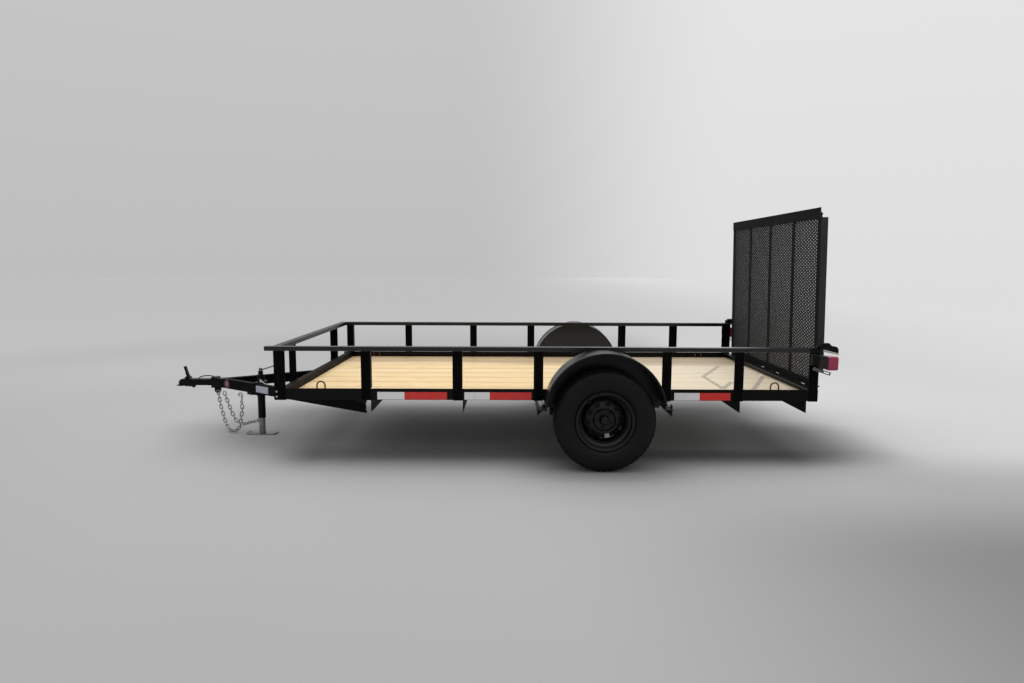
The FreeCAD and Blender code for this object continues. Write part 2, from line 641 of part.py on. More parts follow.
fb, clips = [], []
for s in (-1, 1):
    for c, dx in ((1751.4, 46), (2622.5, -60)):
        x = BF + " + %s" % c
        y0, y1 = ("-1108", "-bed_half") if s < 0 else ("bed_half", "1108")
        h0, h1 = ("-1160", "-(bed_half + post_wall + 0.2)") if s < 0 else ("bed_half + post_wall + 0.2", "1160")
        zs = "401" if dx > 0 else "403"
        plate = box(x + " - cross_wall", x, y0, y1, "cross_low", "rail_low - 4")
        if dx > 0:
            shelf = box(x + " - 1", x + " + 46", h0, h1, zs, zs + " + 4.8")
            gus = gusset(x, "46", s, "1100", "359", zs)
            clip = fuse(box(x + " + 1", x + " + 30", "-1088" if s < 0 else "1052", "-1052" if s < 0 else "1088", zs + " + 5", zs + " + 33"),
                        rod(6, "10", x + " + 15", "%d * 1070" % s, zs + " + 30"))
        else:
            shelf = box(x + " - 60", x + " - cross_wall + 1", h0, h1, zs, zs + " + 4.8")
            gus = gusset(x + " - cross_wall", "-55", s, "1100", "359", zs)
            clip = fuse(box(x + " - 36", x + " - 5.2", "-1088" if s < 0 else "1052", "-1052" if s < 0 else "1088", zs + " + 5", zs + " + 36"),
                        rod(6, "10", x + " - 20", "%d * 1070" % s, zs + " + 32"))
        fb.append(fuse(plate, shelf, gus))
        clips.append(clip)
node(several(*fb), "fender_brackets")
node(several(*clips), "fender_bolts")

# =====================================================================
# Ramp gate
# =====================================================================
gx = RE + " + 14"
L0, L1 = "-gate_half", "gate_half"


def lean(o):
    """The closed gate leans forward about its hinge line."""
    o.Placement = FreeCAD.Placement(FreeCAD.Vector(0, 0, 0), FreeCAD.Rotation(FreeCAD.Vector(0, 1, 0), -V["gate_lean"]),
                                    FreeCAD.Vector(V["gate_axis_x"], 0, V["gate_axis_z"]))
    return o


side_l = fuse(box(gx, gx + " + gate_wall", L0, L0 + " + gate_leg", "gate_low", "gate_top - 65"),
              box(gx, gx + " + gate_deep", L0, L0 + " + gate_wall", "gate_low + 112", "gate_top - 65"))
side_r = fuse(box(gx, gx + " + gate_wall", L1 + " - gate_leg", L1, "gate_low", "gate_top - 65"),
              box(gx, gx + " + gate_deep", L1 + " - gate_wall", L1, "gate_low + 112", "gate_top - 65"))
top = fuse(box(gx + " - gate_wall", gx + " + 0.1", L0 + " + 5", L1 + " - 5", "gate_top - 70", "gate_top"),
           box(gx + " + 14", gx + " + gate_deep", L0, L1, "gate_top - 70", "gate_top - 65"))
bot = fuse(box(gx, gx + " + gate_wall", L0 + " + gate_leg", L1 + " - gate_leg", "gate_low", "gate_low + gate_leg"),
           box(gx + " + 14", gx + " + 40", L0 + " + 30", L1 + " - 30", "gate_low + 4", "gate_low + 8.8"),
           *[box(gx + " + 3", gx + " + 16", "%d" % (y - 20), "%d" % (y + 20), "gate_low + 4", "gate_low + 8.8") for y in (-800, -400, 0, 400, 800)])
# lips under the bottom member, between the hinge tubes, that close the gap to the rear rail
lips = [box(gx, gx + " + gate_wall", "%d" % y0, "%d" % y1, "gate_low - 28", "gate_low")
        for y0, y1 in ((-915, -738), (-542, -258), (-62, 62), (258, 542), (738, 915))]
node(lean(fuse(side_l, side_r, top, bot, *lips)), "gate_frame")
bars = []
for k in (-1, 0, 1):
    yc = "%d * gate_half / 2" % k
    bars.append(box(gx, gx + " + gate_wall", yc + " - 19", yc + " + 19", "gate_low + gate_leg", "gate_top - 70"))
node(lean(several(*bars)), "gate_bars")
# the mesh lies behind the face of the frame and the bars
node(lean(several(box(gx + " + gate_wall + 0.3", gx + " + gate_wall + 6.3", L0 + " + 6", L1 + " - 6", "gate_low + 12", "gate_top - 24"))), "gate_mesh")
# Hinges: tubes on the rear cross rail and on the gate, on one pin line.
frm, gt = [], []
for hy in (-640, -160, 160, 640):
    yc = "%d" % hy
    tube = cut(rod(13, "90", "gate_axis_x", yc + " - 92", "gate_axis_z", "Y"), rod(8.2, "94", "gate_axis_x", yc + " - 94", "gate_axis_z", "Y"))
    lug = box(RE, "gate_axis_x - 9", yc + " - 92", yc + " - 2", "gate_axis_z - 5", "gate_axis_z + 5")
    frm.append(fuse(tube, lug))
    pin = rod(8, "190", "gate_axis_x", yc + " - 95", "gate_axis_z", "Y")
    barrel = rod(13, "90", "gate_axis_x", yc + " + 2", "gate_axis_z", "Y")
    lug = box("gate_axis_x - 3.5", "gate_axis_x + 14", yc + " + 2", yc + " + 92", "gate_axis_z + 6", "gate_low")
    gt.append(fuse(pin, barrel, lug))
node(several(*frm), "frame_hinge_tubes")
node(lean(several(*gt)), "gate_hinge_tubes")

# =====================================================================
# Small fittings
# =====================================================================


housing, lens, arms = [], [], []
for s in (-1, 1):
    a, b = ("-1076", "-985.3") if s < 0 else ("985.3", "1076")
    housing.append(fuse(box(RE + " - 22", RE + " + 16", a, b, "664", "746"), box(RE + " - 60", RE + " - 22", "-1004" if s < 0 else "985.3", "-985.3" if s < 0 else "1004", "676", "752")))
    lens.append(box(RE + " + 16.2", RE + " + 88", a, b, "652", "743"))
    sa_, sb_ = ("-1014", "-1008") if s < 0 else ("1008", "1014")
    bar = box("0", "120", sa_, sb_, "-11", "11")
    slot = box("73", "112", "-1040" if s < 0 else "1000", "-1000" if s < 0 else "1040", "-4.5", "4.5")
    strap = cut(bar, slot)
    strap.Placement = FreeCAD.Placement(FreeCAD.Vector(0, 0, 0), FreeCAD.Rotation(FreeCAD.Vector(0, 1, 0), 18))
    put(strap, RE + " - 50", 0, "657")
    arms.append(strap)
    q = box(RE + " - 46", RE + " - 28", "-1008.5" if s < 0 else "983", "-983" if s < 0 else "1008.5", "644", "657")
    arms.append(q)
node(several(*housing), "tail_light_housings")
node(several(*lens), "tail_light_lenses")
node(several(fuse(arms[0], arms[1]), fuse(arms[2], arms[3])), "slotted_straps")
# Gate latches: a stepped housing that slopes down behind the end of each top rail, and a plate under it.
def side_plate(pts, y, thick):
    """Outline in the XZ plane, from y toward -Y by its thickness."""
    b = body_pad(pts, "XZ_Plane", thick)
    put(b, 0, y, 0)
    return b


lt, lp = [], []
for s in (-1, 1):
    a, b = ("-990.2", "-983") if s < 0 else ("983", "990.2")
    yc = "%d * 998" % s
    body = side_plate([(RE + " - 13", "783"), (RE + " - 11", "823"), (RE + " + 47", "825"), (RE + " + 66", "806"), (RE + " + 97", "802"),
                       (RE + " + 110.5", "784"), (RE + " + 110.5", "757"), (RE + " + 8", "783")], "-984" if s < 0 else "1012", "28")
    lt.append(fuse(box(RE + " - 62", RE + " - 4", a, b, "765", "788"), body, rod(13, "70", RE + " - 30", yc, "800", "X")))
    lp.append(side_plate([(RE + " + 8", "769"), (RE + " + 8", "782"), (RE + " + 109", "756.5"), (RE + " + 109", "747")],
                         "-1012.3" if s < 0 else "1018.3", "6"))
node(several(*lt), "gate_latches")
node(several(*lp), "latch_plates")
# Tie-down loops: bent rod standing on the deck against the inner faces of the side rails.
loops = []
for x, sg in ((308, -1), (3331, -1), (308, 1), (3331, 1)):
    y = "%d * (bed_half - 10.4)" % sg
    legs = [rod(5, "63.2", BF + " + %s + %d * 27" % (x, t), y, "462.8") for t in (-1, 1)]
    arc = doc.addObject("Part::Torus", "Bow")
    arc.Radius1 = 27
    arc.Radius2 = 5
    put(arc, BF + " + %s" % x, y, "526", FreeCAD.Rotation(FreeCAD.Vector(1, 0, 0), 90))
    top_half = common(arc, box(BF + " + %s - 40" % x, BF + " + %s + 40" % x, y + " - 12", y + " + 12", "526", "566"))
    loops.append(fuse(top_half, *legs))
node(several(*loops), "tie_down_loops")
# Blank plate on the outer face of the left tongue beam, and a strip welded under it.
ang = V["tongue_angle"]


def on_beam(o, along, out):
    """Places a piece on the outer face of the left beam: along the beam from the apex, out from the face."""
    o.Placement = FreeCAD.Placement(FreeCAD.Vector(0, 0, 0), FreeCAD.Rotation(FreeCAD.Vector(0, 0, 1), -ang))
    o.setExpression("Placement.Base.x", ex("%s + %.4f - %.4f" % (AX, along * ca, out * sa)))
    o.setExpression("Placement.Base.y", "%.4f" % (-along * sa - out * ca))
    return o


plate = doc.addObject("Part::Box", "Plate")
plate.Length, plate.Width, plate.Height = 150, 1.2, 52
on_beam(plate, 470, 1.5)
plate.setExpression("Placement.Base.z", ex("tongue_low + 12"))
node(plate, "blank_plate")
strip = doc.addObject("Part::Box", "Strip")
strip.Length, strip.Width, strip.Height = 62, 30, 18
on_beam(strip, 350, -3)
strip.setExpression("Placement.Base.z", ex("tongue_low - 18.2"))
node(strip, "tongue_strip")

# Safety chains: welded links of round wire, hung from the apex bracket.
chain_wire, chain_in, chain_pitch = 7.8, 30.0, 29.2


def decagon(at, r, u, v):
    """Ten-sided wire section about a point."""
    pts = []
    for i in range(10):
        c, q = math.cos(math.radians(36 * i)), math.sin(math.radians(36 * i))
        pts.append(FreeCAD.Vector(at.x + r * (u.x * c + v.x * q), at.y + r * (u.y * c + v.y * q), at.z + r * (u.z * c + v.z * q)))
    return Part.makePolygon(pts + [pts[0]])


def link():
    """One link: two straight runs and two half rings, long axis along X."""
    half = 10.4
    run = chain_in / 2.0 + chain_wire / 2.0 - half
    vec = FreeCAD.Vector

    def section(x, y):
        return Part.Face(decagon(vec(x, y, 0), chain_wire / 2, vec(0, 1, 0), vec(0, 0, 1)))

    runs = [section(-run, half).extrude(vec(2 * run, 0, 0)), section(run, -half).extrude(vec(-2 * run, 0, 0))]
    ends = [section(run, half).revolve(vec(run, 0, 0), vec(0, 0, 1), -180), section(-run, -half).revolve(vec(-run, 0, 0), vec(0, 0, 1), -180)]
    return runs[0].fuse([runs[1]] + ends).removeSplitter()


def chain(pts, label):
    """Links spaced along a smooth hanging line through the points."""
    c = Part.BSplineCurve()
    c.interpolate([FreeCAD.Vector(*q) for q in pts])
    total = c.length()
    n = int(total / chain_pitch)
    pars = [c.parameterAtDistance(chain_pitch * (k + 0.5), c.FirstParameter) for k in range(n)]
    base = link()
    out = []
    side = FreeCAD.Vector(0.35, 0.9, 0.1)
    for k, t in enumerate(pars):
        pos = c.value(t)
        tan = c.tangent(t)[0]
        tan.normalize()
        nrm = side - tan * side.dot(tan)
        nrm.normalize()
        bi = tan.cross(nrm)
        m = FreeCAD.Matrix(tan.x, nrm.x, bi.x, pos.x, tan.y, nrm.y, bi.y, pos.y, tan.z, nrm.z, bi.z, pos.z, 0, 0, 0, 1)
        rot = FreeCAD.Placement(m)
        turn = FreeCAD.Placement(FreeCAD.Vector(0, 0, 0), FreeCAD.Rotation(FreeCAD.Vector(1, 0, 0), 45 + 90 * (k % 2)))
        q = base.copy()
        q.Placement = rot.multiply(turn)
        out.append(q)
    o = doc.addObject("Part::Feature", "Chain")
    o.Shape = Part.makeCompound(out)
    o.Placement = FreeCAD.Placement()
    print(label, "length", round(total, 1), "links", n)
    return node(o, label)


chain([(-2088, -20, 312), (-2076, -28, 270), (-2062, -40, 207), (-2039, -60, 146), (-2014, -80, 82), (-1977, -110, 32), (-1923, -150, 16),
       (-1878, -168, 34), (-1857, -168, 82), (-1849, -165, 140), (-1842, -162, 195), (-1845, -160, 236)], "long_safety_chain")
chain([(-2021, -60, 311), (-2000, -75, 268), (-1979, -85, 218), (-1956, -90, 159), (-1927, -95, 104), (-1888, -100, 66), (-1850, -102, 62),
       (-1806, -105, 74), (-1764, -110, 84), (-1733, -110, 96), (-1716, -108, 126), (-1711, -106, 178), (-1711, -106, 236)], "short_safety_chain")


def hook(base, turn):
    """Forged hook with an eye at its foot and a spring latch across the mouth."""
    vec = FreeCAD.Vector
    low, high = vec(0, 0, 0), vec(6.5, 0, 42)
    along = high - low
    along.normalize()
    side = vec(0, 1, 0)
    spine = Part.Wire([Part.makeLine(low, high), Part.Arc(high, vec(-9, 0, 62.5), vec(-25.2, 0, 44)).toShape()])
    body = spine.makePipeShell([Part.Wire(decagon(low, 5.2, side, along.cross(side)))], True, False, 2)
    tip = Part.makeSphere(5.2, FreeCAD.Vector(-24.8, 0, 42))
    eye = Part.makeTorus(9.5, 3.8, FreeCAD.Vector(0, 0, -9), FreeCAD.Vector(0, 1, 0))
    latch = Part.makeCylinder(1.8, 27, FreeCAD.Vector(6, 0, 38), FreeCAD.Vector(-1, 0, -0.02))
    q = body.fuse([tip, eye, latch])
    q.Placement = FreeCAD.Placement(FreeCAD.Vector(*base), FreeCAD.Rotation(FreeCAD.Vector(0, 0, 1), turn))
    return q


ho = doc.addObject("Part::Feature", "Hooks")
ho.Shape = Part.makeCompound([hook((-1845, -160, 257), -20), hook((-1711, -106, 258), -20)])
node(ho, "chain_hooks")

doc.recompute()
bad = []
for o in doc.Objects:
    st = list(getattr(o, "State", []))
    if "Invalid" in st or "Error" in st:
        bad.append((o.Name, o.Label, st))
for o in NODES:
    if o.Shape.isNull() or not o.Shape.isValid():
        bad.append((o.Name, o.Label, "shape"))
if bad:
    print(bad[:20])
    sys.exit(1)
lo = [1e9] * 3
hi = [-1e9] * 3
for o in NODES:
    bb = o.Shape.BoundBox
    for i, (a, b) in enumerate(((bb.XMin, bb.XMax), (bb.YMin, bb.YMax), (bb.ZMin, bb.ZMax))):
        lo[i] = min(lo[i], a)
        hi[i] = max(hi[i], b)
    print("%-20s solids %2d  vol %10.0f  x %.1f %.1f  y %.1f %.1f  z %.1f %.1f" % (o.Label, len(o.Shape.Solids), o.Shape.Volume, bb.XMin, bb.XMax, bb.YMin, bb.YMax, bb.ZMin, bb.ZMax))
    o.Shape.exportStep("parts/%s.step" % o.Label)
print("box", lo, hi, "nodes", len(NODES))
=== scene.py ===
import math
import random

import bmesh
import bpy
from mathutils import Matrix, Vector


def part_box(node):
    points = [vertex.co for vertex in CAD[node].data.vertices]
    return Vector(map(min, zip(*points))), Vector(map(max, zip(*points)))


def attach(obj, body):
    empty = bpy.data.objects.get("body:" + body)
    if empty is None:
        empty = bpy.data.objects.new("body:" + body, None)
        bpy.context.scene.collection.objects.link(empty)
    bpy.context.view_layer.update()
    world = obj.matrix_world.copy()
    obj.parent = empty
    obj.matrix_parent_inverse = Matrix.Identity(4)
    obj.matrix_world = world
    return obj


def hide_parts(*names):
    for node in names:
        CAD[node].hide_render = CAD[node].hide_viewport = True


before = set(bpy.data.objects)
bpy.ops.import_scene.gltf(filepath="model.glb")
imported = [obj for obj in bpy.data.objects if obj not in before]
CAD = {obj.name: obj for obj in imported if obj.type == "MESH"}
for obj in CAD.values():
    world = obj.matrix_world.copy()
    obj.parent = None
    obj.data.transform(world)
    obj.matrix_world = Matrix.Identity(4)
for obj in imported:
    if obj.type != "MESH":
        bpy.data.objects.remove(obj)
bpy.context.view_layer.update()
scene = bpy.context.scene
rnd = random.Random(7)
rad = math.radians

# ---------------------------------------------------------------- camera
cam_data = bpy.data.cameras.new("studio_camera")
cam_data.sensor_fit = "HORIZONTAL"
cam_data.sensor_width = 36.0
cam_data.lens = 24.68
cam_data.clip_end = 200
camera = bpy.data.objects.new("studio_camera", cam_data)
scene.collection.objects.link(camera)
camera.matrix_world = (Matrix.Translation((0.276, -5.584, 1.345)) @ Matrix.Rotation(rad(90 - 6.43), 4, "X")
                       @ Matrix.Rotation(rad(0.19), 4, "Z"))
scene.camera = camera
scene.view_settings.view_transform = "Standard"
scene.view_settings.look = "None"

# ---------------------------------------------------------------- key places, metres
BED = -1.304
RAIL_Y = 0.978
TUBE_Y = 0.9828
POSTS = [(BED + a / 1000, BED + b / 1000) for a, b in (
    (0.0, 76.2), (578.3, 641.8), (1186.0, 1249.5), (1724.7, 1788.2), (2575.5, 2639.0), (3054.5, 3118.0), (3550.5, 3614.0))]
CROSS = [BED + c / 1000 for c in (646.0, 1257.8, 1751.4, 2622.5, 3101.7, 3543.4)]
PITCH = 0.2215
WHEEL_X, WHEEL_Y, WHEEL_Z = 0.876, 1.1, 0.3315
APEX = -2.074
BEAM = rad(34.8)


# ---------------------------------------------------------------- mesh building
def basis(axis, up=(0, 0, 1)):
    """Rotation whose Z is the axis."""
    z = Vector(axis).normalized()
    u = Vector(up)
    if abs(z.dot(u.normalized())) > 0.98:
        u = Vector((1, 0, 0))
    x = u.cross(z).normalized()
    y = z.cross(x)
    m = Matrix((x, y, z)).transposed()
    return m.to_4x4()


class Geo:
    def __init__(self):
        self.v, self.f = [], []

    def add(self, verts, faces, m=None):
        n = len(self.v)
        for p in verts:
            q = Vector(p)
            self.v.append(m @ q if m is not None else q)
        self.f += [[i + n for i in q] for q in faces]

    def box(self, lo, hi, m=None):
        x0, y0, z0 = lo
        x1, y1, z1 = hi
        vs = [(x0, y0, z0), (x1, y0, z0), (x1, y1, z0), (x0, y1, z0), (x0, y0, z1), (x1, y0, z1), (x1, y1, z1), (x0, y1, z1)]
        self.add(vs, [(0, 3, 2, 1), (4, 5, 6, 7), (0, 1, 5, 4), (1, 2, 6, 5), (2, 3, 7, 6), (3, 0, 4, 7)], m)

    def lathe(self, prof, n, m=None, turn=0.0):
        """Closed turned body about local Z from (radius, height) pairs; ends with radius 0 are capped by a point."""
        vs, fs, rows = [], [], []
        for r, h in prof:
            if r < 1e-9:
                rows.append([len(vs)])
                vs.append((0, 0, h))
            else:
                rows.append(list(range(len(vs), len(vs) + n)))
                vs += [(r * math.cos(turn + 2 * math.pi * k / n), r * math.sin(turn + 2 * math.pi * k / n), h) for k in range(n)]
        for a, b in zip(rows, rows[1:]):
            for k in range(n):
                k2 = (k + 1) % n
                if len(a) == 1 and len(b) == 1:
                    continue
                if len(a) == 1:
                    fs.append((a[0], b[k2], b[k]))
                elif len(b) == 1:
                    fs.append((a[k], a[k2], b[0]))
                else:
                    fs.append((a[k], a[k2], b[k2], b[k]))
        self.add(vs, [tuple(reversed(f)) if prof[0][1] > prof[-1][1] else f for f in fs], m)

    def hexagon(self, at, axis, r, h, turn=0.0):
        """Bolt head: hexagon with a chamfered top on a washer face."""
        m = Matrix.Translation(at) @ basis(axis)
        self.lathe([(0, 0), (r * 1.02, 0), (r * 1.02, h * 0.16), (r * 0.98, h * 0.2)], 18, m)
        self.lathe([(0, h * 0.15), (r, h * 0.15), (r, h * 0.84), (r * 0.86, h), (0, h)], 6, m, turn)

    def button(self, at, axis, r, h, n=12):
        m = Matrix.Translation(at) @ basis(axis)
        self.lathe([(0, 0), (r, 0), (r * 0.97, h * 0.4), (r * 0.75, h * 0.8), (r * 0.35, h), (0, h)], n, m)

    def tube(self, pts, r, n=10, closed=False, radii=None, flat=1.0):
        pts = [Vector(p) for p in pts]
        m = len(pts)
        vs, fs = [], []
        ref = None
        for i, p in enumerate(pts):
            a = pts[(i - 1) % m] if closed or i else pts[i]
            b = pts[(i + 1) % m] if closed or i < m - 1 else pts[i]
            t = (b - a).normalized()
            if ref is None:
                ref = Vector((0, 0, 1)) if abs(t.z) < 0.9 else Vector((1, 0, 0))
            u = (ref - t * ref.dot(t)).normalized()
            w = t.cross(u)
            ref = u
            rr = radii[i] if radii else r
            vs += [p + u * (rr * flat * math.cos(2 * math.pi * k / n)) + w * (rr * math.sin(2 * math.pi * k / n)) for k in range(n)]
        for i in range(m if closed else m - 1):
            j = (i + 1) % m
            for k in range(n):
                k2 = (k + 1) % n
                fs.append((i * n + k, i * n + k2, j * n + k2, j * n + k))
        if not closed:
            fs.append(tuple(range(n - 1, -1, -1)))
            fs.append(tuple((m - 1) * n + k for k in range(n)))
        self.add(vs, fs)

    def weld(self, a, b, r=0.0028):
        """Rippled bead along a joint."""
        a, b = Vector(a), Vector(b)
        ln = (b - a).length
        n = max(4, int(ln / 0.0026))
        pts, rr = [], []
        for i in range(n + 1):
            t = i / n
            pts.append(a.lerp(b, t) + Vector((rnd.uniform(-1, 1), rnd.uniform(-1, 1), rnd.uniform(-1, 1))) * r * 0.08)
            edge = min(1.0, 0.45 + 3.0 * min(t, 1 - t) * ln / 0.02)
            rr.append(r * edge * (0.86 + 0.16 * (i % 2) + rnd.uniform(-0.04, 0.04)))
        self.tube(pts, r, 8, radii=rr)

    def make(self, name, body, mat, slot=None, smooth=38, bevel=0.0, segments=2):
        me = bpy.data.meshes.new(name)
        me.from_pydata([tuple(p) for p in self.v], [], self.f)
        me.validate()
        bm = bmesh.new()
        bm.from_mesh(me)
        bmesh.ops.recalc_face_normals(bm, faces=bm.faces)
        bm.to_mesh(me)
        bm.free()
        ob = bpy.data.objects.new(name, me)
        scene.collection.objects.link(ob)
        me.materials.append(mat)
        if bevel:
            b = ob.modifiers.new("edges", "BEVEL")
            b.width = bevel
            b.segments = segments
            b.limit_method = "ANGLE"
            b.angle_limit = rad(35)
        me.shade_smooth()
        me.set_sharp_from_angle(angle=rad(smooth))
        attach(ob, body)
        return ob


# ---------------------------------------------------------------- shader helpers
def plug(nt, socket, v):
    if isinstance(v, bpy.types.NodeSocket):
        nt.links.new(v, socket)
    elif isinstance(v, (tuple, list)) and len(v) == 3 and socket.type == "RGBA":
        socket.default_value = (*v, 1.0)
    else:
        socket.default_value = v


def N(nt, kind, ins=None, **props):
    n = nt.nodes.new("ShaderNode" + kind)
    for k, v in props.items():
        setattr(n, k, v)
    for k, v in (ins or {}).items():
        plug(nt, n.inputs[k], v)
    return n


def mixc(nt, fac, a, b, blend="MIX"):
    n = nt.nodes.new("ShaderNodeMix")
    n.data_type = "RGBA"
    n.blend_type = blend
    for i, v in ((0, fac), (6, a), (7, b)):
        plug(nt, n.inputs[i], v)
    return n.outputs[2]


def mt(nt, op, a, b=0.0, clamp=False):
    n = nt.nodes.new("ShaderNodeMath")
    n.operation = op
    n.use_clamp = clamp
    plug(nt, n.inputs[0], a)
    plug(nt, n.inputs[1], b)
    return n.outputs[0]


def mr(nt, v, a, b, c, d, smooth=False):
    n = nt.nodes.new("ShaderNodeMapRange")
    n.interpolation_type = "SMOOTHSTEP" if smooth else "LINEAR"
    for i, x in enumerate((v, a, b, c, d)):
        plug(nt, n.inputs[i], x)
    return n.outputs[0]


def noise(nt, vec, scale, detail=3.0, rough=0.5, dist=0.0):
    return N(nt, "TexNoise", {"Vector": vec, "Scale": scale, "Detail": detail, "Roughness": rough, "Distortion": dist}).outputs["Fac"]


def mapped(nt, vec, scale=(1, 1, 1), loc=(0, 0, 0), rot=(0, 0, 0)):
    return N(nt, "Mapping", {"Vector": vec, "Location": loc, "Rotation": rot, "Scale": scale}).outputs[0]


def ramp(nt, fac, stops):
    n = nt.nodes.new("ShaderNodeValToRGB")
    els = n.color_ramp.elements
    while len(els) < len(stops):
        els.new(0.5)
    for e, (p, c) in zip(els, stops):
        e.position = p
        e.color = (*c, 1.0)
    plug(nt, n.inputs[0], fac)
    return n.outputs[0]


def new_mat(name, **sockets):
    m = bpy.data.materials.new(name)
    m.use_nodes = True
    nt = m.node_tree
    nt.nodes.clear()
    out = nt.nodes.new("ShaderNodeOutputMaterial")
    bs = nt.nodes.new("ShaderNodeBsdfPrincipled")
    nt.links.new(bs.outputs["BSDF"], out.inputs["Surface"])
    for k, v in sockets.items():
        plug(nt, bs.inputs[k.replace("_", " ")], v)
    return m, nt, bs


def bump(nt, bs, layers, under=None):
    """Stacked bump layers (height, strength, distance)."""
    last = under
    for h, s, d in layers:
        n = N(nt, "Bump", {"Height": h, "Strength": s, "Distance": d})
        if last is not None:
            nt.links.new(last, n.inputs["Normal"])
        last = n.outputs["Normal"]
    if last is not None:
        nt.links.new(last, bs.inputs["Normal"])


def edge_wear_and_highlight(nt, radius=0.003, lo=0.93, hi=0.995):
    """1 on outer edges, 0 on flats."""
    bev = N(nt, "Bevel", {"Radius": radius}, samples=4)
    geo = N(nt, "NewGeometry")
    dot = N(nt, "VectorMath", {0: bev.outputs[0], 1: geo.outputs["Normal"]}, operation="DOT_PRODUCT").outputs["Value"]
    return mr(nt, dot, hi, lo, 0.0, 1.0), bev.outputs[0]


# ---------------------------------------------------------------- materials
def paint(name, dark, light, rough, spec=0.3, dust=0.10, coat=0.0, chips=0.35, peel=0.10, painted_lit_sides=None, painted_glint=None):
    m, nt, bs = new_mat(name, Metallic=0.0, Specular_IOR_Level=spec, Coat_Weight=coat, Coat_Roughness=0.08)
    tc = N(nt, "TexCoord").outputs["Object"]
    big = noise(nt, tc, 2.6, 4, 0.55)
    mid = noise(nt, tc, 22, 5, 0.6)
    fine = noise(nt, tc, 110, 4, 0.6)
    orange = noise(nt, tc, 520, 2, 0.5)
    edge, bev = edge_wear_and_highlight(nt)
    nz = N(nt, "SeparateXYZ", {0: N(nt, "NewGeometry").outputs["Normal"]}).outputs["Z"]
    up = mr(nt, nz, 0.35, 0.95, 0.0, 1.0)
    settle = mt(nt, "MULTIPLY", up, mr(nt, mid, 0.35, 0.7, 0.25, 1.0))
    chip = mt(nt, "MULTIPLY", edge, mr(nt, fine, 0.50, 0.60, 0.0, 1.0))
    col = mixc(nt, mr(nt, big, 0.3, 0.7, 0, 1), dark, light)
    if painted_lit_sides:
        # painted light: the outer sides (faces turned along ±Y) are painted lighter than the faces, for the light they
        # catch
        ny = N(nt, "SeparateXYZ", {0: N(nt, "NewGeometry").outputs["Normal"]}).outputs["Y"]
        fade_and_lit_side = mr(nt, mt(nt, "ABSOLUTE", ny), 0.6, 0.95, 0.0, 1.0)
        col = mixc(nt, mt(nt, "MULTIPLY", fade_and_lit_side, mr(nt, mid, 0.2, 0.8, 0.85, 1.0)), col, painted_lit_sides)
    # painted highlight: every outer edge is painted lighter than the flats
    col = mixc(nt, mt(nt, "MULTIPLY", edge, 0.45), col, tuple(3.0 * c + 0.004 for c in light))
    col = mixc(nt, mt(nt, "MULTIPLY", chip, chips), col, (0.060, 0.056, 0.052))
    col = mixc(nt, mt(nt, "MULTIPLY", settle, dust), col, (0.16, 0.15, 0.135))
    if painted_glint:
        # painted highlight: a glint along the upper arris and top face, painted bright over a short length
        px = N(nt, "SeparateXYZ", {0: tc}).outputs["X"]
        w = mt(nt, "MULTIPLY", mr(nt, px, painted_glint[0], painted_glint[1], 0.0, 1.0, True), mr(nt, px, painted_glint[3], painted_glint[2], 0.0, 1.0, True))
        w = mt(nt, "MULTIPLY", w, mt(nt, "MAXIMUM", edge, mt(nt, "MULTIPLY", up, 0.7)))
        col = mixc(nt, w, col, (0.36, 0.36, 0.36))
    plug(nt, bs.inputs["Base Color"], col)
    r = mr(nt, mid, 0.25, 0.75, rough - 0.05, rough + 0.07)
    r = mt(nt, "ADD", r, mt(nt, "MULTIPLY", settle, 0.10))
    r = mt(nt, "ADD", r, mt(nt, "MULTIPLY", chip, 0.22), True)
    plug(nt, bs.inputs["Roughness"], r)
    bump(nt, bs, [(orange, peel, 0.0006), (noise(nt, tc, 14, 2), 0.06, 0.004)], bev)
    return m


M_PAINT = paint("gloss_black_powder", (0.0012, 0.0012, 0.0014), (0.0026, 0.0026, 0.0030), 0.25, spec=0.15, dust=0.08)
M_SATIN = paint("satin_black_frame", (0.0018, 0.0018, 0.0020), (0.0036, 0.0036, 0.0040), 0.38, spec=0.18, dust=0.10)
M_MESH = paint("mesh_black", (0.0095, 0.0097, 0.0103), (0.0170, 0.0173, 0.0182), 0.50, spec=0.26, dust=0.08, peel=0.2)
M_POST = paint("post_black", (0.0014, 0.0014, 0.0015), (0.0028, 0.0028, 0.0031), 0.50, spec=0.05, dust=0.06)
M_RAIL = paint("rail_black", (0.0016, 0.0016, 0.0018), (0.0036, 0.0036, 0.0040), 0.24, spec=0.50, dust=0.10)
# painted highlight: this rail copy carries a painted glint on its top edge
M_GLINT_RAIL = paint("rail_painted_glint", (0.0016, 0.0016, 0.0018), (0.0036, 0.0036, 0.0040), 0.24, spec=0.50, dust=0.10, painted_glint=(0.9, 1.55, 1.75, 2.05))
M_WHEEL = paint("wheel_black", (0.0020, 0.0020, 0.0022), (0.0042, 0.0042, 0.0045), 0.26, spec=0.30, dust=0.12)
# painted light: the gate's ±Y faces get a lighter painted colour
M_GATE = paint("gate_black", (0.0040, 0.0040, 0.0042), (0.0070, 0.0070, 0.0074), 0.62, spec=0.05, dust=0.10, painted_lit_sides=(0.046, 0.046, 0.047))
M_FENDER = paint("fender_black", (0.0050, 0.0050, 0.0054), (0.0086, 0.0086, 0.0092), 0.24, spec=0.20, dust=0.09, peel=0.06)


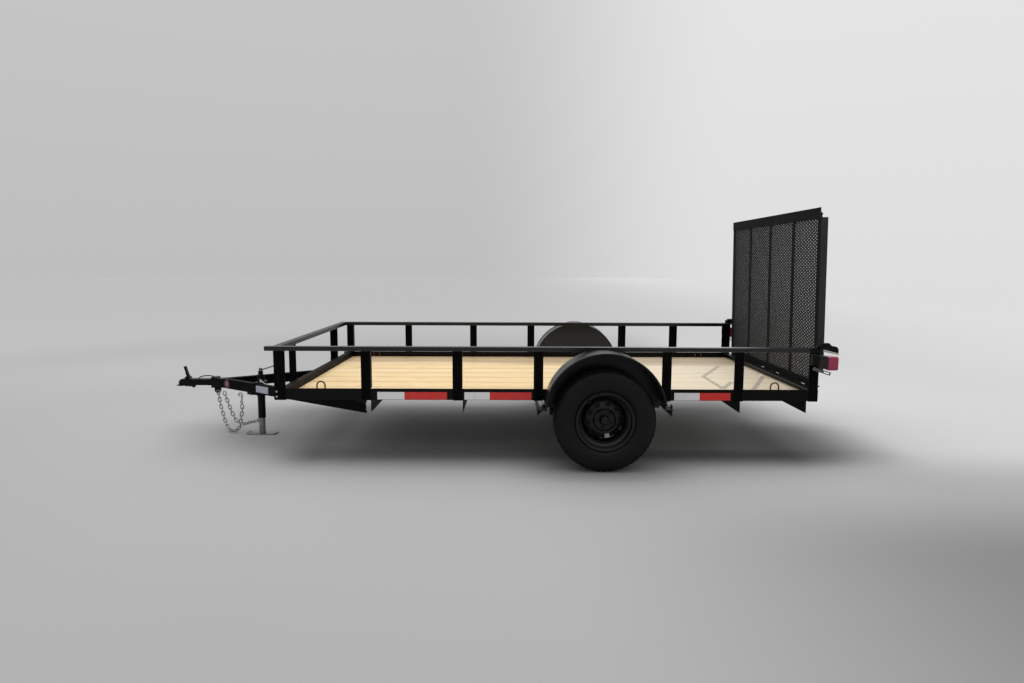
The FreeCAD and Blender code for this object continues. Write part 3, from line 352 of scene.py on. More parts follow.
def metal(name, dark, light, rough, rust=0.0, scale=90.0, metallic=1.0, spangle=0.0):
    m, nt, bs = new_mat(name, Metallic=metallic)
    tc = N(nt, "TexCoord").outputs["Object"]
    a = noise(nt, tc, scale, 5, 0.6)
    b = noise(nt, tc, scale * 6, 3, 0.6)
    edge, bev = edge_wear_and_highlight(nt, 0.0015, 0.9, 0.995)
    col = mixc(nt, mr(nt, a, 0.3, 0.7, 0, 1), dark, light)
    if spangle:
        cell = N(nt, "TexVoronoi", {"Vector": tc, "Scale": 140.0}).outputs["Color"]
        tone = N(nt, "SeparateColor", {0: cell}).outputs[0]
        col = mixc(nt, mt(nt, "MULTIPLY", tone, spangle), col, tuple(min(1.0, 1.5 * c) for c in light))
    col = mixc(nt, mt(nt, "MULTIPLY", edge, 0.35), col, tuple(min(1.0, 1.35 * c) for c in light))
    if rust:
        w = mt(nt, "MULTIPLY", mr(nt, noise(nt, tc, scale * 0.5, 6, 0.7), 0.5, 0.62, 0.0, 1.0), rust)
        col = mixc(nt, w, col, (0.11, 0.045, 0.018))
    plug(nt, bs.inputs["Base Color"], col)
    plug(nt, bs.inputs["Roughness"], mr(nt, b, 0.25, 0.75, rough - 0.08, rough + 0.12))
    bump(nt, bs, [(b, 0.18, 0.0004), (a, 0.10, 0.001)], bev)
    return m


M_ZINC = metal("zinc_plate", (0.36, 0.36, 0.37), (0.62, 0.62, 0.62), 0.34, rust=0.12, spangle=0.25)
M_CHAIN = metal("chain_zinc", (0.20, 0.20, 0.205), (0.46, 0.46, 0.46), 0.36, rust=0.18, scale=160)
M_DULL = metal("dull_steel", (0.10, 0.10, 0.105), (0.24, 0.24, 0.245), 0.42, rust=0.22, scale=60)
M_DRUM = metal("brake_drum_iron", (0.010, 0.010, 0.010), (0.022, 0.021, 0.020), 0.62, rust=0.25, scale=50, metallic=0.2)
M_STEM = metal("greased_steel", (0.16, 0.16, 0.165), (0.40, 0.40, 0.40), 0.30, rust=0.10, scale=70)
M_RUST = metal("rusted_rod", (0.050, 0.026, 0.016), (0.17, 0.105, 0.070), 0.62, rust=0.8, scale=80, metallic=0.35)


def rubber():
    m, nt, bs = new_mat("tyre_rubber_black", Metallic=0.0, Specular_IOR_Level=0.20)
    tc = N(nt, "TexCoord").outputs["Object"]
    a = noise(nt, tc, 7, 4, 0.6)
    b = noise(nt, tc, 160, 4, 0.7)
    d = noise(nt, tc, 34, 4, 0.6)
    col = mixc(nt, mr(nt, a, 0.3, 0.7, 0, 1), (0.0026, 0.0026, 0.0028), (0.0050, 0.0049, 0.0048))
    grime = mt(nt, "MULTIPLY", mr(nt, d, 0.45, 0.75, 0.0, 1.0), 0.30)
    col = mixc(nt, grime, col, (0.020, 0.018, 0.016))
    plug(nt, bs.inputs["Base Color"], col)
    plug(nt, bs.inputs["Roughness"], mr(nt, d, 0.3, 0.7, 0.50, 0.66))
    bump(nt, bs, [(b, 0.25, 0.0006), (d, 0.10, 0.002)])
    return m


M_TYRE = rubber()


def wood():
    m, nt, bs = new_mat("pine_boards", Metallic=0.0, Specular_IOR_Level=0.28)
    tc = N(nt, "TexCoord").outputs["Object"]
    xyz = N(nt, "SeparateXYZ", {0: tc})
    x, y, z = xyz.outputs[0], xyz.outputs[1], xyz.outputs[2]
    num = mt(nt, "FLOOR", mt(nt, "DIVIDE", y, PITCH))
    wn = N(nt, "TexWhiteNoise", {"W": num}, noise_dimensions="1D")
    r1 = wn.outputs["Value"]
    r2 = N(nt, "SeparateColor", {0: wn.outputs["Color"]}).outputs[1]
    # each board has its own stretch of grain
    px = mt(nt, "ADD", x, mt(nt, "MULTIPLY", r1, 31.0))
    py = mt(nt, "ADD", y, mt(nt, "MULTIPLY", r2, 17.0))
    base = N(nt, "CombineXYZ", {0: px, 1: py, 2: z}).outputs[0]
    flow = noise(nt, mapped(nt, base, (0.42, 5.2, 5.2)), 1.0, 3.0, 0.45, 0.35)
    ring = mt(nt, "FRACT", mt(nt, "MULTIPLY", flow, 17.0))
    late = mr(nt, ring, 0.55, 0.97, 0.0, 1.0, True)
    late = mt(nt, "MULTIPLY", late, mr(nt, ring, 0.97, 1.0, 1.0, 0.0))
    streak = noise(nt, mapped(nt, base, (1.6, 120, 120)), 1.0, 5.0, 0.65)
    pore = noise(nt, mapped(nt, base, (14, 620, 620)), 1.0, 3.0, 0.6)
    broad = noise(nt, mapped(nt, base, (0.9, 7, 7)), 1.0, 3.0, 0.5)
    # knots
    kv = N(nt, "TexVoronoi", {"Vector": mapped(nt, base, (1.35, 6.0, 6.0)), "Scale": 1.0, "Randomness": 1.0})
    keep = mr(nt, N(nt, "SeparateColor", {0: kv.outputs["Color"]}).outputs[0], 0.70, 0.72, 0.0, 1.0)
    knot = mt(nt, "MULTIPLY", mr(nt, kv.outputs["Distance"], 0.045, 0.085, 1.0, 0.0, True), keep)
    halo = mt(nt, "MULTIPLY", mr(nt, kv.outputs["Distance"], 0.07, 0.26, 1.0, 0.0, True), keep)
    col = mixc(nt, broad, (0.930, 0.750, 0.450), (0.880, 0.660, 0.340))
    col = mixc(nt, mt(nt, "MULTIPLY", late, 0.52), col, (0.620, 0.370, 0.145))
    col = mixc(nt, mr(nt, streak, 0.35, 0.66, 0.0, 0.48), col, (0.660, 0.420, 0.190))
    col = mixc(nt, mr(nt, r1, 0.0, 1.0, 0.0, 0.22), col, (0.930, 0.800, 0.590))
    col = mixc(nt, mt(nt, "MULTIPLY", halo, 0.30), col, (0.560, 0.310, 0.130))
    col = mixc(nt, mt(nt, "MULTIPLY", knot, 0.85), col, (0.150, 0.060, 0.025))
    col = mixc(nt, mr(nt, pore, 0.58, 0.75, 0.0, 0.20), col, (0.420, 0.260, 0.120))
    # boards darken at their long edges
    inb = mt(nt, "SUBTRACT", mt(nt, "DIVIDE", y, PITCH), num)
    side = mt(nt, "MULTIPLY", mt(nt, "ABSOLUTE", mt(nt, "SUBTRACT", inb, 0.5)), 2.0)
    col = mixc(nt, mr(nt, side, 0.905, 0.985, 0.0, 0.66, True), col, (0.240, 0.135, 0.060))
    # handling dirt
    dirt = mr(nt, noise(nt, tc, 2.3, 6, 0.7), 0.55, 0.78, 0.0, 0.18)
    col = mixc(nt, dirt, col, (0.460, 0.350, 0.230))
    # the underside (faces turned downwards) is coloured much darker
    nz = N(nt, "SeparateXYZ", {0: N(nt, "NewGeometry").outputs["Normal"]}).outputs["Z"]
    col = mixc(nt, mr(nt, nz, -0.5, -0.9, 0.0, 1.0), col, mixc(nt, streak, (0.070, 0.064, 0.058), (0.110, 0.102, 0.092)))
    # painted shadow: a brown band painted along the far side, standing in for the shade there
    edge_y = mt(nt, "ADD", y, mt(nt, "MULTIPLY", mt(nt, "SUBTRACT", noise(nt, mapped(nt, base, (1.1, 16, 16)), 1.0, 4.0, 0.6), 0.5), 0.30))
    edge_y = mt(nt, "ADD", edge_y, mr(nt, x, -0.2, 0.6, 0.0, 0.12, True))
    painted_shade_far_side = mt(nt, "MULTIPLY", mr(nt, edge_y, 0.46, 0.72, 0.0, 1.0, True), mr(nt, y, 0.26, 0.44, 0.0, 0.62, True))
    # paler towards the rear
    col = mixc(nt, mr(nt, x, 0.3, 1.5, 0.0, 0.62, True), col, mixc(nt, streak, (0.97, 0.93, 0.82), (0.70, 0.62, 0.49)))
    # painted shadow: mix the far-side band in
    col = mixc(nt, painted_shade_far_side, col, mixc(nt, streak, (0.400, 0.280, 0.175), (0.230, 0.150, 0.088)))
    # painted shadow: grey chevron marks painted on the deck, standing in for a shadow cast across it
    painted_shadow_marks = None
    for (ax, ay), (bx, by) in (((2.06, 0.414), (1.772, -0.161)), ((1.772, -0.161), (1.771, -0.686)), ((1.771, -0.686), (1.917, -0.405)), ((2.247, -0.139), (1.975, -0.719))):
        wide, turn = math.hypot(bx - ax, by - ay) / 2, math.atan2(by - ay, bx - ax)
        u = mt(nt, "SUBTRACT", x, (ax + bx) / 2)
        v = mt(nt, "SUBTRACT", y, (ay + by) / 2)
        a = mt(nt, "ABSOLUTE", mt(nt, "ADD", mt(nt, "MULTIPLY", u, math.cos(turn)), mt(nt, "MULTIPLY", v, math.sin(turn))))
        b = mt(nt, "ABSOLUTE", mt(nt, "SUBTRACT", mt(nt, "MULTIPLY", v, math.cos(turn)), mt(nt, "MULTIPLY", u, math.sin(turn))))
        t = mt(nt, "MULTIPLY", mr(nt, a, wide, wide + 0.02, 1.0, 0.0, True), mr(nt, b, 0.012, 0.022, 1.0, 0.0, True))
        painted_shadow_marks = t if painted_shadow_marks is None else mt(nt, "MAXIMUM", painted_shadow_marks, t)
    col = mixc(nt, mt(nt, "MULTIPLY", painted_shadow_marks, 0.62), col, (0.300, 0.290, 0.250))
    plug(nt, bs.inputs["Base Color"], col)
    rr = mr(nt, late, 0.0, 1.0, 0.60, 0.46)
    rr = mt(nt, "ADD", rr, mr(nt, streak, 0.3, 0.7, -0.04, 0.06), True)
    plug(nt, bs.inputs["Roughness"], rr)
    saw = noise(nt, mapped(nt, base, (260, 3, 3)), 1.0, 1.0)
    bump(nt, bs, [(late, 0.20, 0.0008), (pore, 0.22, 0.0005), (saw, 0.05, 0.0006), (mt(nt, "MULTIPLY", knot, -1.0), 0.2, 0.001)])
    return m


M_WOOD = wood()


def tape(name, a, b, rough=0.28):
    """Prismatic sheeting: small sealed hexagon cells behind a smooth film."""
    m, nt, bs = new_mat(name, Metallic=0.0, Specular_IOR_Level=0.5, Coat_Weight=0.35, Coat_Roughness=0.12)
    tc = N(nt, "TexCoord").outputs["Object"]
    xyz = N(nt, "SeparateXYZ", {0: tc})
    lines = None
    for ang in (30, 90, 150):
        q = mt(nt, "ADD", mt(nt, "MULTIPLY", xyz.outputs[0], math.cos(rad(ang))), mt(nt, "MULTIPLY", xyz.outputs[2], math.sin(rad(ang))))
        f = mt(nt, "FRACT", mt(nt, "MULTIPLY", q, 210.0))
        t = mr(nt, mt(nt, "ABSOLUTE", mt(nt, "SUBTRACT", f, 0.5)), 0.40, 0.47, 0.0, 1.0)
        lines = t if lines is None else mt(nt, "MAXIMUM", lines, t)
    cell = N(nt, "TexVoronoi", {"Vector": tc, "Scale": 330.0}).outputs["Color"]
    tone = N(nt, "SeparateColor", {0: cell}).outputs[0]
    col = mixc(nt, mt(nt, "MULTIPLY", tone, 0.6), a, b)
    col = mixc(nt, mt(nt, "MULTIPLY", lines, 0.28), col, tuple(0.45 * c for c in a))
    dirt = mr(nt, noise(nt, tc, 18, 5, 0.7), 0.55, 0.75, 0.0, 0.22)
    col = mixc(nt, dirt, col, (0.16, 0.14, 0.12))
    plug(nt, bs.inputs["Base Color"], col)
    plug(nt, bs.inputs["Roughness"], mr(nt, tone, 0.0, 1.0, rough, rough + 0.12))
    bump(nt, bs, [(lines, 0.15, 0.0003)])
    return m


M_TAPE_W = tape("tape_white", (0.86, 0.86, 0.86), (0.95, 0.95, 0.96))
M_TAPE_R = tape("tape_red", (0.68, 0.012, 0.010), (0.86, 0.030, 0.020))


def lens():
    m, nt, bs = new_mat("red_lens_plastic", Metallic=0.0, Specular_IOR_Level=0.5, Coat_Weight=0.5, Coat_Roughness=0.05, IOR=1.49)
    tc = N(nt, "TexCoord").outputs["Object"]
    xyz = N(nt, "SeparateXYZ", {0: tc})
    fx = mt(nt, "SINE", mt(nt, "MULTIPLY", xyz.outputs[1], 1400.0))
    fz = mt(nt, "SINE", mt(nt, "MULTIPLY", xyz.outputs[2], 1400.0))
    facet = mt(nt, "MULTIPLY", fx, fz)
    v = noise(nt, tc, 28, 4, 0.6)
    col = mixc(nt, mr(nt, facet, -1, 1, 0, 1), (0.26, 0.006, 0.042), (0.48, 0.015, 0.092))
    col = mixc(nt, mr(nt, v, 0.4, 0.7, 0.0, 0.35), col, (0.11, 0.002, 0.012))
    plug(nt, bs.inputs["Base Color"], col)
    plug(nt, bs.inputs["Roughness"], mr(nt, v, 0.3, 0.7, 0.14, 0.24))
    bump(nt, bs, [(facet, 0.25, 0.0006), (noise(nt, tc, 60, 3), 0.05, 0.001)])
    return m


M_LENS = lens()


def foil(name, a, b, rough=0.35, fade_and_lit_side=(0.30, 0.31, 0.36)):
    m, nt, bs = new_mat(name, Metallic=0.15, Specular_IOR_Level=0.5)
    tc = N(nt, "TexCoord").outputs["Object"]
    v = noise(nt, tc, 45, 5, 0.65)
    w = noise(nt, mapped(nt, tc, (900, 900, 30)), 1.0, 2)
    col = mixc(nt, mr(nt, v, 0.35, 0.65, 0, 1), a, b)
    edge, bev = edge_wear_and_highlight(nt, 0.002)
    col = mixc(nt, mt(nt, "MULTIPLY", edge, 0.6), col, fade_and_lit_side)
    col = mixc(nt, mr(nt, noise(nt, tc, 16, 6, 0.7), 0.58, 0.75, 0.0, 0.35), col, (0.14, 0.13, 0.13))
    plug(nt, bs.inputs["Base Color"], col)
    plug(nt, bs.inputs["Roughness"], mr(nt, v, 0.3, 0.7, rough - 0.05, rough + 0.15))
    bump(nt, bs, [(w, 0.08, 0.0003), (v, 0.05, 0.0008)], bev)
    return m


M_FOIL = foil("blank_foil", (0.36, 0.40, 0.52), (0.52, 0.56, 0.66))
M_LABEL = foil("blank_label", (0.42, 0.42, 0.42), (0.56, 0.56, 0.55))
M_DISC_R = tape("disc_red", (0.075, 0.003, 0.014), (0.130, 0.008, 0.030))
M_DISC_P = foil("disc_pale", (0.24, 0.13, 0.16), (0.32, 0.19, 0.22), fade_and_lit_side=(0.14, 0.04, 0.06))


def plastic(name, a, b, rough):
    m, nt, bs = new_mat(name, Metallic=0.0, Specular_IOR_Level=0.4)
    tc = N(nt, "TexCoord").outputs["Object"]
    v = noise(nt, tc, 40, 4, 0.6)
    g = noise(nt, tc, 900, 2)
    edge, bev = edge_wear_and_highlight(nt, 0.002)
    col = mixc(nt, mr(nt, v, 0.3, 0.7, 0, 1), a, b)
    col = mixc(nt, mt(nt, "MULTIPLY", edge, 0.4), col, tuple(2.2 * c + 0.004 for c in b))
    plug(nt, bs.inputs["Base Color"], col)
    plug(nt, bs.inputs["Roughness"], mr(nt, v, 0.3, 0.7, rough - 0.05, rough + 0.10))
    bump(nt, bs, [(g, 0.25, 0.0004)], bev)
    return m


M_PLASTIC = plastic("black_plastic", (0.004, 0.004, 0.004), (0.008, 0.008, 0.008), 0.45)
M_GREEN = plastic("green_grey_bracket", (0.030, 0.036, 0.032), (0.055, 0.064, 0.058), 0.42)

MATS = {
    "deck_boards": M_WOOD, "left_tyre": M_TYRE, "right_tyre": M_TYRE, "tie_down_loops": M_RUST,
    "left_rim": M_WHEEL, "right_rim": M_WHEEL, "left_hub": M_WHEEL, "right_hub": M_WHEEL,
    "left_fender": M_FENDER, "right_fender": M_FENDER,
    "fender_bolts": M_ZINC, "slotted_straps": M_DULL, "latch_plates": M_ZINC, "jack_leg": M_STEM, "jack_foot": M_DULL,
    "jack_crank": M_DULL, "jack_pull_pin": M_ZINC, "long_safety_chain": M_CHAIN, "short_safety_chain": M_CHAIN, "chain_hooks": M_CHAIN,
    "blank_plate": M_FOIL, "tail_light_lenses": M_LENS, "tail_light_housings": M_PLASTIC, "gate_mesh": M_MESH,
    "crossmembers": M_POST, "axle_tube": M_SATIN, "left_leaf_spring": M_SATIN, "right_leaf_spring": M_SATIN,
    "left_posts": M_POST, "right_posts": M_POST, "front_posts": M_POST, "front_cross_rail": M_POST,
    "left_top_rail": M_GLINT_RAIL, "right_top_rail": M_RAIL, "left_tongue_beam": M_POST, "right_tongue_beam": M_POST, "spring_hangers": M_SATIN, "axle_clamps": M_SATIN, "gate_frame": M_GATE, "gate_bars": M_GATE,
}
SHARP = {"deck_boards": (0.0022, 2), "left_side_rail": (0.0012, 2), "right_side_rail": (0.0012, 2), "front_cross_rail": (0.0012, 2),
         "rear_cross_rail": (0.0012, 2), "crossmembers": (0.001, 2), "left_top_rail": (0.0022, 3), "right_top_rail": (0.0022, 3),
         "front_top_rail": (0.0022, 3), "left_posts": (0.0012, 2), "right_posts": (0.0012, 2), "front_posts": (0.0012, 2),
         "left_tongue_beam": (0.0014, 2), "right_tongue_beam": (0.0014, 2), "gate_frame": (0.0008, 2), "gate_bars": (0.0008, 2),
         "tail_light_housings": (0.004, 3), "fender_bolts": (0.0015, 2), "blank_plate": (0.0006, 1), "coupler_bracket": (0.002, 2),
         "fender_brackets": (0.0008, 1), "tongue_spacers": (0.001, 1)}
for name, ob in CAD.items():
    mat = MATS.get(name, M_PAINT)
    ob.data.materials.clear()
    ob.data.materials.append(mat)
    for p in ob.data.polygons:
        p.material_index = 0
    if name in SHARP:
        w = ob.modifiers.new("join", "WELD")
        w.merge_threshold = 0.00002
        d = ob.modifiers.new("flats", "DECIMATE")
        d.decimate_type = "DISSOLVE"
        d.angle_limit = rad(0.5)
        b = ob.modifiers.new("edges", "BEVEL")
        b.width, b.segments = SHARP[name]
        b.limit_method = "ANGLE"
        b.angle_limit = rad(35)
        b.use_clamp_overlap = False
        b.harden_normals = False

# ---------------------------------------------------------------- tyres
SIDE = [(74.5, 192.4), (94.2, 211.8), (99.6, 233.8), (101.1, 253.8), (98.7, 275.8), (93.2, 297.8), (84.2, 314.2), (77.3, 323.2)]
CROWN = [(0.0, 331.4), (43.5, 331.3), (67.5, 328.3), (77.3, 323.2)]


def lerp_table(tab, t, key=0):
    o = 1 - key
    for a, b in zip(tab, tab[1:]):
        if (a[key] - t) * (b[key] - t) <= 0:
            k = (t - a[key]) / ((b[key] - a[key]) or 1)
            # linear between the two table entries; smooth_side averages nearby samples so the wall has no corners
            return a[o] + (b[o] - a[o]) * k
    return tab[-1][o] if abs(t - tab[-1][key]) < abs(t - tab[0][key]) else tab[0][o]


def smooth_side(r):
    return sum(lerp_table(SIDE, min(323.2, max(192.4, r + d)), 1) for d in (-7, -3.5, 0, 3.5, 7)) / 5.0


def tyre(name, sign, node):
    prof = []
    for x, r in ((74.3, 179.2), (74.5, 186.0), (74.6, 192.2)):
        prof.append((x, r, "bead"))
    r = 194.5
    while r < 318:
        x = smooth_side(r)
        for r0, w, h in ((201.0, 2.6, 1.3), (207.5, 1.6, -0.9), (214.0, 1.4, 0.8), (238.0, 1.6, 0.5), (284.0, 2.0, 0.8), (296.0, 1.5, -1.0), (303.0, 2.2, 0.7)):
            x += h * math.exp(-((r - r0) / w) ** 2)
        prof.append((min(x, 101.4), r, "side"))
        r += 2.2
    for x, rr in ((84.0, 318.0), (79.8, 321.6), (76.5, 324.4)):
        prof.append((x, rr, "shoulder"))
    for x in (72, 67, 62, 57, 52, 49.2):
        prof.append((x, lerp_table(CROWN, x) - 0.2, "lug"))
    for x in (48.4, 45.0, 41.6):
        prof.append((x, lerp_table(CROWN, x) - 7.5, "groove"))
    for x in (40.8, 36, 31, 26, 20.8):
        prof.append((x, 331.2, "rib"))
    for x in (20.0, 16.5, 13.0):
        prof.append((x, 323.8, "groove"))
    for x in (12.2, 6, 0):
        prof.append((x, 331.3, "mid"))
    full = prof + [(-x, r, k) for x, r, k in reversed(prof[:-1])]
    n = 216
    vs, fs = [], []
    for j in range(n):
        a = 2 * math.pi * j / n
        for x, r, k in full:
            rr, aa = r, a
            ph = j % 4
            if k == "lug" and ph == 0:
                rr = r - 6.0
            elif k == "shoulder" and ph == 0:
                rr = r - 3.0
            elif k == "rib" and ph == 2 and 25 < abs(x) < 37:
                rr = r - 4.0
            elif k == "mid" and ph == (1 if x >= 0 else 3) and abs(x) > 3:
                rr = r - 3.0
            if k in ("rib", "mid"):
                aa = a + 0.012 * math.sin(x / 7.0)
            vs.append((rr / 1000 * math.cos(aa), x / 1000, rr / 1000 * math.sin(aa)))
    m = len(full)
    for j in range(n):
        j2 = (j + 1) % n
        for i in range(m):
            i2 = (i + 1) % m
            fs.append((j * m + i, j * m + i2, j2 * m + i2, j2 * m + i))
    g = Geo()
    g.add(vs, fs, Matrix.Translation((WHEEL_X, sign * WHEEL_Y, WHEEL_Z)))
    body = "left_wheel" if sign < 0 else "right_wheel"
    ob = g.make(name, body, M_TYRE, "tyre_rubber", smooth=50)
    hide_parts(node)
    return ob


tyre("left_tyre_tread", -1, "left_tyre")
tyre("right_tyre_tread", 1, "right_tyre")

# wheel trim: blank label, brake drum, valve stem, hub cap dimple
for sign, pre in ((-1, "left"), (1, "right")):
    body = pre + "_wheel"
    c = Vector((WHEEL_X, sign * WHEEL_Y, WHEEL_Z))
    out = Vector((0, sign, 0))

    def on_disc(ang, r, lift=0.0):
        """Point on the disc's outer cone, r and lift in mm; angle from +X towards +Z."""
        t = (r - 86) / (124 - 86)
        off = 25 + (9 - 25) * t + lift
        return c + out * (off / 1000) + Vector((math.cos(ang), 0, math.sin(ang))) * (r / 1000)

    g = Geo()
    vs, fs = [], []
    k = 8
    a0, a1 = rad(-90) + (0.19 if sign < 0 else 0.19) - 0.155, rad(-90) + 0.19 + 0.155
    for lift in (0.15, 0.6):
        for i in range(k + 1):
            for j in range(k + 1):
                vs.append(on_disc(a0 + (a1 - a0) * i / k, 90 + 31 * j / k, lift))
    for i in range(k):
        for j in range(k):
            p = i * (k + 1) + j
            fs.append((p, p + 1, p + k + 2, p + k + 1))
            q = p + (k + 1) ** 2
            fs.append((q, q + k + 1, q + k + 2, q + 1))
    rim = [i * (k + 1) for i in range(k + 1)] + [k * (k + 1) + j for j in range(1, k + 1)] + [i * (k + 1) + k for i in range(k - 1, -1, -1)] + list(range(k - 1, 0, -1))
    for a, b in zip(rim, rim[1:] + rim[:1]):
        fs.append((a, b, b + (k + 1) ** 2, a + (k + 1) ** 2))
    g.add(vs, fs)
    g.make(pre + "_wheel_label", body, M_LABEL)
    g = Geo()
    m = Matrix.Translation(c) @ basis(out)
    g.lathe([(0.046, -0.0140), (0.118, -0.0140), (0.1255, -0.0170), (0.1265, -0.0220), (0.1265, -0.0560), (0.1300, -0.0585), (0.1310, -0.0620),
             (0.1310, -0.0680), (0.1270, -0.0700), (0.046, -0.0700), (0.046, -0.0140)], 64, m)
    for k in range(5):
        a = 2 * math.pi * (k + 0.5) / 5
        g.button(c + out * -0.0142 + Vector((math.cos(a), 0, math.sin(a))) * 0.088, out, 0.006, 0.0025)
    g.make(pre + "_brake_drum", body, M_DRUM, smooth=30)
    g = Geo()
    va = rad(128)
    d = Vector((math.cos(va), 0, math.sin(va)))
    foot = c + out * 0.0755 + d * 0.1735
    g.tube([foot, foot + out * 0.006 - d * 0.001, foot + out * 0.012 - d * 0.004, foot + out * 0.024 - d * 0.010], 0.0056, 12,
           radii=[0.0075, 0.0068, 0.0052, 0.0050])
    g.make(pre + "_valve_stem", body, M_PLASTIC)
    g = Geo()
    m = Matrix.Translation(c + out * 0.056) @ basis(out)
    g.lathe([(0, -0.0004), (0.0155, -0.0004), (0.0150, 0.0012), (0.0112, 0.0014), (0.0104, 0.0006), (0.0, 0.0006)], 28, m)
    g.make(pre + "_cap_plug", body, M_WHEEL, "wheel_paint")

# ---------------------------------------------------------------- expanded mesh of the gate
GATE_AX, GATE_AZ, LEAN = 2.3275, 0.490, rad(1.1)


def gate_place(p):
    """Upright gate plane to its leaned rest position."""
    x, y, z = p
    dx, dz = x - GATE_AX, z - GATE_AZ
    return Vector((GATE_AX + dx * math.cos(LEAN) - dz * math.sin(LEAN), y, GATE_AZ + dx * math.sin(LEAN) + dz * math.cos(LEAN)))


LWD, SWD = 0.0508, 0.0234
g = Geo()
z_lo, z_hi, y_half = 0.5205, 1.6875, 0.9135
rows = int((z_hi - z_lo) / (SWD / 2))
cols = int(2 * y_half / (LWD / 2))
xm = 2.3240 + 0.0048 + 0.0047
half_w, half_t = 0.0044, 0.0042
tilt = rad(4)
ct, st = math.cos(tilt), math.sin(tilt)
for i in range(rows):
    zc = z_lo + SWD / 4 + 0.001 + i * SWD / 2
    path = []
    for j in range(cols + 1):
        y = -y_half + j * (LWD / 2)
        up = 1 if (i + j) % 2 else -1
        z = zc + up * (SWD / 4 - 0.0011)
        lift = -0.0005 * up
        for e in (-1, 1):
            yy = y + e * 0.0042
            if abs(yy) <= y_half:
                path.append((xm + lift, yy, z))
    vs, fs = [], []
    m = len(path)
    for (x, y, z) in path:
        for a, b in ((-1, -1), (1, -1), (1, 1), (-1, 1)):
            dx = a * half_t * ct - b * half_w * st
            dz = a * half_t * st + b * half_w * ct
            vs.append(gate_place((x + dx, y, z + dz)))
    for q in range(m - 1):
        for k in range(4):
            k2 = (k + 1) % 4
            fs.append((q * 4 + k, q * 4 + k2, q * 4 + 4 + k2, q * 4 + 4 + k))
    fs.append((3, 2, 1, 0))
    fs.append(tuple((m - 1) * 4 + k for k in range(4)))
    g.add(vs, fs)
mesh_ob = g.make("gate_expanded_mesh", "ramp_gate", M_MESH, "black_paint", smooth=25)
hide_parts("gate_mesh")

# ---------------------------------------------------------------- reflective tape on both side rails
for s in (-1, 1):
    gw, gr = Geo(), Geo()
    for x0, x1, x2 in ((-0.6200, -0.4394, -0.1556), (-0.0397, 0.1288, 0.4072), (1.3577, 1.5269, 1.7320)):
        for gg, a, b in ((gw, x0, x1), (gr, x1, x2)):
            y0, y1 = s * RAIL_Y, s * (RAIL_Y + 0.0004)
            gg.box((a, min(y0, y1), 0.4345), (b, max(y0, y1), 0.4850))
    side = "left" if s < 0 else "right"
    gw.make(side + "_tape_white", "chassis", M_TAPE_W, bevel=0.0001, segments=1)
    gr.make(side + "_tape_red", "chassis", M_TAPE_R, bevel=0.0001, segments=1)

# ---------------------------------------------------------------- deck screws
g = Geo()
edges = [-0.9702] + [k * PITCH for k in range(-4, 5)] + [0.9702]
for x in [-1.2060] + [c - 0.012 for c in CROSS] + [2.2500]:
    for a, b in zip(edges, edges[1:]):
        wide = b - a
        for t in ((0.18, 0.82) if wide > 0.15 else (0.5,)):
            y = a + wide * t + rnd.uniform(-0.004, 0.004)
            m = Matrix.Translation((x + rnd.uniform(-0.004, 0.004), y, 0.4616))
            turn = rnd.uniform(0, 1)
            g.lathe([(0, 0), (0.0046, 0), (0.0046, 0.0007), (0.0041, 0.0010), (0.0022, 0.0010), (0.0018, 0.0004), (0, 0.0004)], 12, m, turn)
g.make("deck_screws", "chassis", M_DULL, "zinc_steel")

# ---------------------------------------------------------------- weld beads of the frame
g = Geo()
for s in (-1, 1):
    y = s * RAIL_Y
    yo = s * TUBE_Y
    for x0, x1 in POSTS:
        first = x0 < BED + 0.001
        if s > 0 and first:
            x0, x1 = BED + 0.0300, BED + 0.0995
        for x, e in ((x0, -1), (x1, 1)):
            g.weld((x + e * 0.0010, y + s * 0.0005, 0.4345), (x + e * 0.0010, y + s * 0.0005, 0.5065), 0.0027)
        g.weld((x0 + 0.004, yo - s * 0.0012, 0.7578), (x1 - 0.004, yo - s * 0.0012, 0.7578), 0.0022)
        w = x0 + 0.0052 if s < 0 and first else x1 - 0.0052
        g.weld((w, s * 0.974, 0.7578), (w, s * 0.950, 0.7578), 0.0024)
        g.weld((w, s * 0.974, 0.5086), (w, s * 0.950, 0.5086), 0.0024)
    for c in CROSS:
        g.weld((c + 0.001, s * 0.930, 0.4315), (c + 0.001, s * 0.974, 0.4315), 0.0026)
        g.weld((c - 0.0060, s * 0.930, 0.4315), (c - 0.0060, s * 0.974, 0.4315), 0.0026)
for s in (-1, 1):
    yc = s * 0.573
    g.weld((-1.3190, yc - 0.0318, 0.4400), (-1.3190, yc - 0.0318, 0.5070), 0.0026)
    g.weld((-1.2700, yc + s * 0.0330, 0.4400), (-1.2700, yc + s * 0.0330, 0.5070), 0.0026)
    g.weld((-1.3195, yc - 0.028, 0.7578), (-1.3195, yc + 0.028, 0.7578), 0.0024)
g.make("frame_welds", "chassis", M_PAINT, "black_paint", smooth=60)

# ---------------------------------------------------------------- tongue details
dirL = Vector((math.cos(BEAM), -math.sin(BEAM), 0))
outL = Vector((-math.sin(BEAM), -math.cos(BEAM), 0))
turn = Matrix((dirL, Vector((0, 0, 1)), outL)).transposed().to_4x4()


def on_beam(s, z, lift=0.0):
    return Vector((APEX, 0, 0)) + dirL * s + outL * lift + Vector((0, 0, z))


m = Matrix.Translation(on_beam(0.0925, 0.3742, 0.0002)) @ basis(outL)
g = Geo()
g.lathe([(0, 0), (0.0365, 0), (0.0365, 0.0022), (0.0340, 0.0042), (0.0225, 0.0042), (0.0215, 0.0034), (0.0, 0.0034)], 40, m)
g.make("round_marker", "chassis", M_DISC_R, "red_lens")
g = Geo()
g.lathe([(0, 0.0034), (0.0212, 0.0034), (0.0190, 0.0052), (0.0120, 0.0066), (0.0, 0.0072)], 32, m)
g.make("round_marker_middle", "chassis", M_DISC_P)

